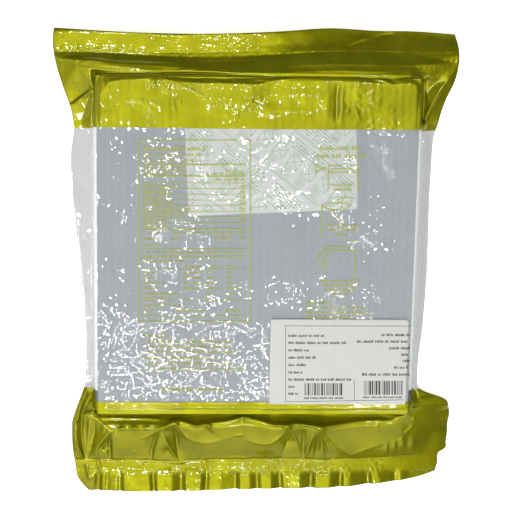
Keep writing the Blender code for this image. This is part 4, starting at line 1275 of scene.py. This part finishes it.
def frontHeight(x, y):
    # The web hangs from the seam to the floor round the stack, with the zip's swell below it;
    # at the flap it keeps under the back film by the seal's offset
    pocket = pocketShare(x, y, film["flapSlope"])
    seam = film["seam"] + sealSway(y)
    under = seam - zipSwell(x, y) * (1.0 - pocket)
    back = sample(backSurface, x, y)
    welded = ease((frontWeb["flapFrom"] - y) / frontWeb["flapOver"])
    welded = np.maximum(welded, ease((y - frontWeb["topFrom"]) / frontWeb["topOver"]))
    besideZip = ease((y - frontWeb["zipFrom"]) / frontWeb["zipOver"])
    sideStart = frontWeb["sideFrom"] + frontWeb["zipReach"] * besideZip
    welded = np.maximum(welded, ease((np.abs(x) - sideStart) / frontWeb["sideOver"]) * (1.0 - pocket))
    loose = under + (film["frontMiddle"] - under) * pocket
    highest = back - frontWeb["below"]
    return np.minimum(loose * (1.0 - welded) + highest * welded, highest)


def makeFrontFilm():
    # The plan's grid at the front's height, half a weld below it, turned over; rows between the
    # edges of the print take the clear film
    x, y = filmPlan(frontRows, frontWeb["columns"])
    z = frontHeight(x, y) - film["sealOffset"] * edgeMeeting(x, frontRows)
    points = np.stack([x, y, np.maximum(z, frontWeb["lowest"])], -1).reshape(-1, 3)
    quads = gridQuads(len(frontRows), frontWeb["columns"])[:, ::-1]
    rowOf = np.repeat(0.5 * (frontRows[:-1] + frontRows[1:]), frontWeb["columns"] - 1)
    slots = ((rowOf > printEdge["bottom"]) & (rowOf < printEdge["top"])).astype(int)
    return addMesh("frontFilm", points, quads, [oliveFilm, clearFilm], slots)


frontFilm = makeFrontFilm()
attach(frontFilm, "root")
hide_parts("pouch_front_film")
print("front film made")


# Label, pressed on the film

def makeLabel():
    # Grid with rounded corners, its underside on the film and its top a paper's thickness above
    columns = 110
    rows = 72
    u, v = np.meshgrid(np.linspace(-1.0, 1.0, columns), np.linspace(-1.0, 1.0, rows))
    halfWidth = label["width"] / 2
    halfLength = label["length"] / 2
    corner = label["leftCorner"] + (label["rightCorner"] - label["leftCorner"]) * (u + 1.0) / 2.0
    nearCorner = np.maximum(np.abs(v) * halfLength - (halfLength - corner), 0.0)
    inset = corner - np.sqrt(np.maximum(corner ** 2 - nearCorner ** 2, 0.0))
    x = label["centre"][0] + u * (halfWidth - inset)
    y = label["centre"][1] + v * halfLength
    z = labelHeight(x, y)
    upper = np.stack([x, y, z + label["thick"]], -1).reshape(-1, 3)
    lower = np.stack([x, y, z], -1).reshape(-1, 3)
    count = rows * columns
    quads = [gridQuads(rows, columns), gridQuads(rows, columns, count)[:, ::-1]]
    index = np.arange(count).reshape(rows, columns)
    rim = np.concatenate([index[0, :-1], index[:-1, -1], index[-1, :0:-1], index[:0:-1, 0]])
    after = np.roll(rim, -1)
    quads.append(np.stack([rim, rim + count, after + count, after], -1))
    return addMesh("labelSheet", np.concatenate([upper, lower]), np.concatenate(quads), [labelPaper])


labelSheet = makeLabel()
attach(labelSheet, "root")
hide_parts("label_sticker")
print("label made")


# Print: thin ribbons of ink that lie along what carries them

def ribbon(path, width, step=0.7):
    # A strip of the given width along a broken line of (x, y): the line is stepped evenly and
    # its two sides stand half a width off it, on the mean of the neighbouring directions
    path = np.asarray(path, float)
    pieces = np.hypot(*np.diff(path, axis=0).T)
    travelled = np.concatenate(([0.0], np.cumsum(pieces)))
    count = max(int(math.ceil(travelled[-1] / step)), 1) + 1
    stations = np.unique(np.concatenate([np.linspace(0.0, travelled[-1], count), travelled]))
    x = np.interp(stations, travelled, path[:, 0])
    y = np.interp(stations, travelled, path[:, 1])
    way = np.gradient(np.stack([x, y]), stations, axis=1)
    way = way / np.maximum(np.hypot(way[0], way[1]), 1e-9)
    sides = np.array([1.0, 0.0, -1.0])[:, None] * width / 2
    return x[None, :] - way[1] * sides, y[None, :] + way[0] * sides


def inkPiece(name, ribbons, heightOf, material):
    # Every ribbon as its own small grid, lifted to the height of what carries it
    points = []
    quads = []
    first = 0
    for x, y in ribbons:
        points.append(np.stack([x.ravel(), y.ravel()], -1))
        quads.append(gridQuads(x.shape[0], x.shape[1], first)[:, ::-1])
        first += x.size
    flat = np.concatenate(points)
    z = heightOf(flat[:, 0], flat[:, 1])
    piece = addMesh(name, np.column_stack([flat, z]), np.concatenate(quads), [material])
    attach(piece, "root")
    return piece


# Sizes of the bars as shares of the row's size, and how many stand together
wordShape = {
    "wide": (0.22, 0.46), "tall": (0.66, 1.0), "gap": (0.08, 0.2), "space": 0.55, "least": 0.2,
    "together": (3, 9),
}


def wordBars(draw, x0, x1, y, size, place):
    # A row of plain bars that stand for words, with a gap after every three to eight bars
    bars = []
    reach = x0
    left = int(draw.integers(*wordShape["together"]))
    while reach < x1 - wordShape["least"] * size:
        wide = size * draw.uniform(*wordShape["wide"])
        tall = size * draw.uniform(*wordShape["tall"])
        base = y + size / 2
        ax, ay = place([reach + wide / 2, reach + wide / 2], [base, base - tall])
        bars.append(ribbon(np.stack([ax, ay], -1), wide * printLayout["pixel"]))
        reach += wide + size * draw.uniform(*wordShape["gap"])
        left -= 1
        if left == 0:
            reach += size * wordShape["space"]
            left = int(draw.integers(*wordShape["together"]))
    return bars


# Places in the photograph's pixels; the widths of lines are in millimetres
printLayout = {
    "pixel": 0.605,
    "under": 0.06,  # ink lies this far below the film's outside
    "frame": ((138.5, 140.3), (250.4, 140.0), (250.4, 320.7), (138.6, 320.9), (138.5, 140.3)),
    "frameWidth": 0.75,
    "ruleSpan": (142.8, 245.8), "thickWidth": 0.95, "thinWidth": 0.42,
    "thickRules": (164.5, 176.1, 229.2),
    "thinRules": (182.9, 188.7, 194.5, 200.1, 205.5, 211.4, 217.3, 222.9, 248.8, 269.1, 300.6, 315.8),
    "rows": (
        # y, size, then spans of x
        (148.5, 4.6, (142.8, 203.7)), (154.6, 3.0, (142.8, 201.7)), (160.2, 3.0, (142.8, 197.0)),
        (167.6, 2.6, (142.8, 186.0)), (171.2, 2.6, (142.8, 187.0), (225.0, 245.6)),
        (173.9, 2.2, (142.8, 166.0), (206.6, 245.6)), (179.7, 2.8, (215.8, 245.6)),
        (185.9, 3.4, (142.8, 180.0), (239.8, 245.6)), (191.6, 3.4, (142.8, 170.0), (239.8, 245.6)),
        (197.4, 3.4, (142.8, 172.6), (239.8, 245.6)), (202.9, 3.4, (142.8, 173.5), (239.8, 245.6)),
        (208.5, 3.4, (142.8, 192.0), (239.8, 245.6)), (214.4, 3.4, (142.8, 184.0), (239.8, 245.6)),
        (220.2, 3.4, (142.8, 168.0), (239.8, 245.6)), (226.0, 3.0, (142.8, 167.0)),
        (233.0, 2.8, (148.6, 160.0), (172.0, 234.8), (239.0, 245.6)),
        (238.9, 2.8, (143.6, 159.4), (170.0, 182.0), (215.0, 232.0), (239.8, 245.6)),
        (245.1, 2.8, (143.6, 160.6)), (252.4, 2.6, (146.0, 245.6)), (256.7, 2.6, (143.0, 243.0)),
        (260.9, 2.6, (143.0, 187.0)), (266.4, 2.6, (184.7, 200.8), (209.7, 217.7), (225.8, 237.4)),
        (272.6, 2.6, (143.6, 155.0), (183.3, 202.0), (206.5, 213.0), (225.8, 232.0)),
        (277.7, 2.6, (143.6, 158.0), (183.3, 191.0), (193.6, 201.0), (206.5, 213.0), (225.8, 232.0)),
        (282.8, 2.6, (143.6, 165.5), (183.3, 191.0), (193.6, 202.0), (206.5, 219.0), (225.8, 237.4)),
        (288.1, 2.6, (143.6, 157.4), (183.3, 201.0), (206.5, 223.0), (225.8, 242.0)),
        (293.3, 2.6, (143.6, 181.6), (206.5, 213.0), (225.8, 235.0)),
        (297.7, 2.4, (143.6, 168.5), (206.5, 213.0), (225.8, 232.0)),
        (305.1, 2.6, (144.0, 168.5), (173.0, 183.0)),
        (310.3, 2.6, (144.0, 153.4), (176.6, 205.0), (225.8, 242.0)), (335.7, 3.4, (148.0, 169.5)),
        (341.5, 2.8, (148.0, 230.0)), (346.6, 2.8, (148.0, 226.0)), (351.8, 2.8, (148.0, 237.0)),
        (357.7, 3.4, (148.0, 219.0)), (363.3, 2.8, (148.0, 233.0)), (368.4, 2.8, (148.0, 243.0)),
        (389.2, 3.8, (161.5, 226.0)), (148.1, 4.6, (319.5, 361.0)), (155.8, 4.6, (316.0, 366.0)),
        (185.1, 2.6, (332.4, 355.6)), (189.7, 2.6, (333.6, 352.0)), (224.9, 2.8, (324.4, 360.5)),
        (229.8, 2.8, (328.0, 360.0)), (234.9, 2.6, (336.7, 347.7)), (280.8, 2.8, (320.0, 361.0)),
        (285.2, 2.8, (323.0, 361.0)), (289.5, 2.8, (324.4, 354.6)), (293.9, 2.6, (332.0, 350.0)),
        (302.8, 2.8, (306.7, 331.8)), (307.5, 2.8, (306.0, 363.6)), (312.4, 2.8, (306.0, 368.5)),
        (317.0, 2.6, (306.0, 352.6)),
    ),
    "dots": ((144.3, 335.7), (144.7, 357.6)), "dotHalf": 1.4, "dotWidth": 1.6,
    "drawings": (
        # pouch with its top cut, and scissors
        ((328.2, 190.6), (328.2, 165.6), (358.2, 165.8), (358.4, 191.2)), ((328.2, 172.2), (358.2, 172.2)),
        ((331.5, 168.9), (355.0, 168.9)),
        ((317.6, 166.2), (326.0, 170.6)), ((317.6, 171.4), (326.0, 167.0)),
        ((317.6, 166.2), (316.4, 167.0), (315.4, 166.0), (316.2, 164.8), (317.6, 165.2), (317.6, 166.2)),
        ((317.6, 171.4), (316.4, 170.6), (315.4, 171.6), (316.2, 172.8), (317.6, 172.4), (317.6, 171.4)),
        # open pouch, and a sheet drawn out of it
        ((321.6, 234.6), (321.8, 205.0), (326.0, 203.2), (333.0, 202.4), (341.8, 202.6)),
        ((321.9, 205.6), (327.0, 208.8), (334.0, 209.8), (341.0, 208.9)),
        ((337.3, 200.4), (340.0, 198.4), (344.0, 197.8), (353.2, 197.8)),
        ((339.0, 205.0), (346.0, 202.4), (350.5, 205.0), (345.0, 209.6), (339.0, 205.0)),
        ((330.5, 211.0), (335.5, 216.4), (343.0, 220.2)),
        # closed pouch, pressed shut along its top
        ((324.4, 246.9), (347.8, 246.9)), ((324.4, 250.5), (355.4, 250.7), (355.2, 275.8)),
        ((324.4, 246.9), (324.4, 251.5)), ((324.8, 257.3), (324.8, 275.8)),
        ((324.4, 250.8), (318.4, 256.0), (315.3, 263.2)), ((330.6, 252.0), (325.8, 257.2), (319.4, 268.2)),
        ((347.8, 243.8), (352.0, 241.8), (359.8, 240.8)),
    ),
    "drawingWidth": 0.75,
}


def onBackFilm(px, py):
    # Place on the back film that a pixel shows
    return fromPhoto(px, py, None, backSurface)


def underFilm(x, y):
    # The film's outside, less the ink's depth under it
    return sample(backSurface, x, y) + film["sealOffset"] - printLayout["under"]


def photoPath(path):
    # A path of pixels as places on the back film
    px, py = np.array(path).T
    return np.stack(onBackFilm(px, py), -1)


def makeFilmPrint():
    # Frame, rules, rows of bars, dots and line drawings, all as ribbons under the film
    draw = np.random.default_rng(21)
    ribbons = [ribbon(photoPath(printLayout["frame"]), printLayout["frameWidth"])]
    left, right = printLayout["ruleSpan"]
    for kind in ("thick", "thin"):
        for y in printLayout[kind + "Rules"]:
            ribbons.append(ribbon(photoPath(((left, y), (right, y))), printLayout[kind + "Width"]))
    for row in printLayout["rows"]:
        for x0, x1 in row[2:]:
            ribbons += wordBars(draw, x0, x1, row[0], row[1], onBackFilm)
    for x, y in printLayout["dots"]:
        half = printLayout["dotHalf"]
        ribbons.append(ribbon(photoPath(((x - half, y), (x + half, y))), printLayout["dotWidth"]))
    for path in printLayout["drawings"]:
        ribbons.append(ribbon(photoPath(path), printLayout["drawingWidth"]))
    return inkPiece("filmPrint", ribbons, underFilm, printInk)


filmPrint = makeFilmPrint()
print("film print made")


# Label print, in the photograph's pixels
labelLayout = {
    "border": ((411.5, 325.8), (285.6, 325.5), (285.6, 401.5), (403.5, 399.4)),
    "divider": ((354.2, 380.0), (354.2, 400.2)),
    "rows": (
        (335.3, 2.6, (288.4, 324.0)), (342.4, 2.6, (288.4, 345.6)), (349.8, 2.6, (288.4, 309.0)),
        (357.1, 2.6, (288.4, 315.7)), (364.5, 2.6, (288.4, 307.3)), (372.0, 2.6, (288.4, 302.0)),
        (379.1, 2.6, (288.4, 351.3)), (386.3, 2.6, (288.4, 295.0)), (393.2, 2.6, (288.4, 298.0)),
        (334.5, 2.8, (381.4, 410.0)), (341.0, 2.8, (356.7, 409.6)), (347.7, 2.8, (389.0, 409.4)),
        (354.2, 2.8, (401.5, 409.2)), (360.5, 2.8, (402.6, 409.0)), (367.0, 2.8, (394.0, 408.8)),
        (374.0, 2.8, (361.9, 408.6)), (397.6, 2.0, (304.0, 344.0)), (396.8, 2.0, (363.0, 402.0)),
    ),
    # x0, x1, y0, y1 of each block of upright bars
    "bars": ((305.0, 343.3, 382.9, 395.0), (364.0, 402.0, 380.6, 394.4)),
    "barWidths": (0.5, 0.5, 0.9, 1.4), "barGaps": (0.5, 0.7, 1.1), "lineWidth": 0.3,
}


def onLabel(x, y):
    # The label's upper face, and the ink's thickness on it
    return labelHeight(x, y) + label["thick"] + label["ink"]


def labelPath(path):
    # A path of pixels as places at the label's level
    px, py = np.array(path).T
    return np.stack(fromPhoto(px, py), -1)


def makeLabelPrint():
    # Border, divider, rows of bars, and upright bars of random widths that stand for nothing
    draw = np.random.default_rng(5)
    lines = (labelLayout["border"], labelLayout["divider"])
    ribbons = [ribbon(labelPath(line), labelLayout["lineWidth"]) for line in lines]
    for y, size, span in labelLayout["rows"]:
        ribbons += wordBars(draw, span[0], span[1], y, size, fromPhoto)
    for x0, x1, y0, y1 in labelLayout["bars"]:
        reach = x0
        while reach < x1:
            wide = draw.choice(labelLayout["barWidths"])
            ribbons.append(ribbon(labelPath(((reach, y0), (reach, y1))), wide * printLayout["pixel"]))
            reach += wide + draw.choice(labelLayout["barGaps"])
    return inkPiece("labelPrint", ribbons, onLabel, blackInk)


labelPrint = makeLabelPrint()
print("label print made")


# Sachet print: slanting double lines, rows of short bars, and turned squares with a cross
sachetPattern = {
    "slant": math.radians(-41.0),
    "lines": (-46.5, -9.0, 18.5, 52.0), "lineHalf": 70.0, "lineGap": 1.0, "lineWidth": 0.28,
    "squareRows": (-31.5, 3.5, 38.5), "squareReach": 66.0, "squarePitch": 11.4, "squareShear": 0.3,
    "squareHalf": 3.7, "squareWidth": 0.32,
    "hatches": 6, "hatchGap": 1.2, "hatchPitch": 1.05, "hatchLoss": (0.0, 3.0), "hatchWidth": 0.34,
    "dashRows": ((-25.5, -13.0), (10.5, 17.5), (21.5, 32.0), (-60.0, -48.5)),
    "dashReach": 68.0, "dashPitch": 1.75, "dashLength": (0.5, 1.5), "dashWidth": 0.7, "share": 0.86,
    "unit": 39.0, "blank": 7.0, "blankShear": 0.4,  # blank bands cross the rows
    "margin": 2.0, "ink": 0.05,
}


def sachetUnderFilm(x, y):
    # The pillow's top, kept a little below the film that lies on it
    under = sample(backSurface, x, y) - film["sealOffset"]
    return np.maximum(np.minimum(sachetTop(x, y), under), sachet["base"] + sachet["thinnest"])


def makeSachet():
    # Grid u, v from -1 to 1: top at edge + dome, pinched to the edge's thickness at the rim, flat base
    columns = 104
    rows = 78
    u, v = np.meshgrid(np.linspace(-1.0, 1.0, columns), np.linspace(-1.0, 1.0, rows))
    x, y = sachetWorld(u * sachet["width"] / 2, v * sachet["length"] / 2)
    closed = ((np.abs(u) < 1.0) & (np.abs(v) < 1.0)).astype(float)
    top = sachet["base"] + (sachetUnderFilm(x, y) - sachet["base"]) * closed
    upper = np.stack([x, y, top], -1).reshape(-1, 3)
    lower = np.stack([x, y, np.full_like(x, sachet["base"])], -1).reshape(-1, 3)
    quads = np.concatenate([gridQuads(rows, columns), gridQuads(rows, columns, rows * columns)[:, ::-1]])
    return addMesh("sachetPillow", np.concatenate([upper, lower]), quads, [sachetPaper])


sachetPillow = makeSachet()
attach(sachetPillow, "root")
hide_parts("desiccant_sachet")
print("sachet made")


def patternPaths(draw):
    # Straight strokes along the slant and across it: double lines, squares with a cross between
    # hatches, and rows of short random dashes
    slant = sachetPattern["slant"]
    way = np.array([math.cos(slant), math.sin(slant)])
    side = np.array([-way[1], way[0]])
    paths = []
    for offset in sachetPattern["lines"]:
        for shift in (0.0, sachetPattern["lineGap"]):
            middle = (offset + shift) * side
            line = sachetPattern["lineHalf"] * way
            paths.append((middle - line, middle + line, sachetPattern["lineWidth"]))
    half = sachetPattern["squareHalf"]
    width = sachetPattern["squareWidth"]
    around = ((-1, -1), (1, -1), (1, 1), (-1, 1), (-1, -1))
    reach = sachetPattern["squareReach"]
    for offset in sachetPattern["squareRows"]:
        for place in np.arange(-reach, reach, sachetPattern["squarePitch"]):
            centre = offset * side + (place + sachetPattern["squareShear"] * offset) * way
            corners = [centre + half * (a * way + b * side) for a, b in around]
            for start, end in zip(corners, corners[1:]):
                paths.append((start, end, width))
            for across in (way + side, way - side):
                paths.append((centre - half * across, centre + half * across, width))
            for step in range(sachetPattern["hatches"]):
                for turn in (1.0, -1.0):
                    rise = half + sachetPattern["hatchGap"] + step * sachetPattern["hatchPitch"]
                    start = centre + turn * rise * side - half * way
                    length = 2.0 * half - draw.uniform(*sachetPattern["hatchLoss"])
                    paths.append((start, start + length * way, sachetPattern["hatchWidth"]))
    reach = sachetPattern["dashReach"]
    for low, high in sachetPattern["dashRows"]:
        for offset in np.arange(low, high, sachetPattern["dashPitch"]):
            for place in np.arange(-reach, reach, sachetPattern["dashPitch"]):
                within = (place + sachetPattern["blankShear"] * offset) % sachetPattern["unit"]
                blank = within < sachetPattern["blank"]
                if draw.uniform() < sachetPattern["share"] and not blank:
                    start = offset * side + place * way
                    length = draw.uniform(*sachetPattern["dashLength"])
                    paths.append((start, start + length * way, sachetPattern["dashWidth"]))
    return paths


def onSachet(x, y):
    # Ink on the pillow
    return sachetUnderFilm(x, y) + sachetPattern["ink"]


def makeSachetPrint():
    # Every stroke is cut off at the margin and carried over to the turned sachet
    draw = np.random.default_rng(8)
    ribbons = []
    limit = np.array([sachet["width"] / 2, sachet["length"] / 2]) - sachetPattern["margin"]
    steps = np.linspace(0.0, 1.0, 60)[:, None]
    for start, end, width in patternPaths(draw):
        line = start + steps * (end - start)
        kept = line[np.all(np.abs(line) < limit, axis=1)]
        if len(kept) < 2:
            continue
        x, y = sachetWorld(kept[[0, -1], 0], kept[[0, -1], 1])
        ribbons.append(ribbon(np.stack([x, y], -1), width))
    return inkPiece("sachetPrint", ribbons, onSachet, tealInk)


sachetPrint = makeSachetPrint()
print("sachet print made")


# CAD pieces that keep their shape

def dress(name, material):
    # The node keeps its mesh and takes the one material
    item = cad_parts[name]
    item.data.materials.clear()
    item.data.materials.append(material)


looks = {
    "board_outer_liner": boardPaper, "board_inner_liner": boardPaper, "board_flutes": flutePaper,
    "zip_track_male": zipPlastic, "zip_track_female": zipPlastic,
}
sheetCount = 50
for index in range(sheetCount):
    looks[f"nori_sheet_{index + 1:02d}"] = noriMaterial
for name, material in looks.items():
    dress(name, material)
print("board, zip and sheets dressed", len(looks))


# Floor, light and camera

studio = {
    "floorHalf": 3000.0, "floorDrop": 0.2, "dark": (0.96, 0.96, 0.96), "light": (0.98, 0.98, 0.98),
    "glow": 0.8, "sky": (0.95, 0.97, 1.0, 1.0), "skyStrength": 0.10,
}


def makeFloor():
    # One pale square just below the pouch, glowing softly so that it comes out white
    half = studio["floorHalf"]
    corners = [(-half, -half), (half, -half), (half, half), (-half, half)]
    points = np.array([(x, y, -studio["floorDrop"]) for x, y in corners])
    floor = addMesh("floor", points, np.array([[0, 1, 2, 3]]), [])
    material, tree, place = startMaterial("paleFloor")
    colour = rampOf(tree, noiseOf(tree, place, 3.0), ((0.3, studio["dark"]), (0.7, studio["light"])))
    shader = makeNode(tree, "BsdfPrincipled", {
        "Base Color": colour, "Roughness": 0.9, "Specular IOR Level": 0.1,
        "Emission Color": (1.0, 1.0, 1.0, 1.0), "Emission Strength": studio["glow"],
    })
    endMaterial(tree, shader.outputs["BSDF"])
    floor.data.materials.append(material)


makeFloor()

lights = {
    # turned from the zenith towards +X and +Y in degrees, distance, width, height, power in watts
    "main": (-9.0, -14.0, 1.5, 1.5, 1.4, 2.6),
    "front": (-10.0, -52.0, 1.6, 1.8, 0.8, 5.0),
    "left": (-62.0, -10.0, 1.6, 0.7, 1.2, 3.2),
    # small lamps that the crumpled film shows as white speckles
    "sparkA": (-6.0, -31.0, 1.4, 0.11, 0.075, 1.9),
    "sparkB": (11.0, -27.0, 1.4, 0.11, 0.075, 1.7),
    "sparkC": (-3.0, -26.5, 1.4, 0.07, 0.055, 0.6),
    "sparkD": (-16.0, -16.0, 1.4, 0.075, 0.105, 1.8),
    "sparkE": (-5.0, 5.0, 1.4, 0.09, 0.08, 1.9),
    "sparkF": (11.0, 5.0, 1.4, 0.09, 0.08, 1.8),
    "sparkG": (3.0, -3.5, 1.4, 0.06, 0.05, 0.5),
}
for name, (acrossTurn, alongTurn, distance, width, height, power) in lights.items():
    lamp = bpy.data.lights.new(name, "AREA")
    lamp.shape = "RECTANGLE"
    lamp.size = width
    lamp.size_y = height
    lamp.energy = power
    item = bpy.data.objects.new(name, lamp)
    way = Vector((math.tan(math.radians(acrossTurn)), math.tan(math.radians(alongTurn)), 1.0)).normalized()
    item.location = way * distance
    item.rotation_euler = way.to_track_quat("Z", "Y").to_euler()
    item.visible_camera = False
    bpy.context.scene.collection.objects.link(item)

world = bpy.data.worlds.new("studio")
world.use_nodes = True
background = world.node_tree.nodes["Background"]
background.inputs["Color"].default_value = studio["sky"]
background.inputs["Strength"].default_value = studio["skyStrength"]
bpy.context.scene.world = world

lens = bpy.data.cameras.new("photographView")
lens.lens = view["lens"]
lens.sensor_width = view["sensor"]
camera = bpy.data.objects.new("photographView", lens)
camera.location = [value * mm for value in view["place"]]
camera.rotation_euler = [math.radians(value) for value in view["turn"]]
bpy.context.scene.collection.objects.link(camera)
bpy.context.scene.camera = camera
bpy.context.scene.view_settings.view_transform = "Standard"
print("floor, light and camera set")
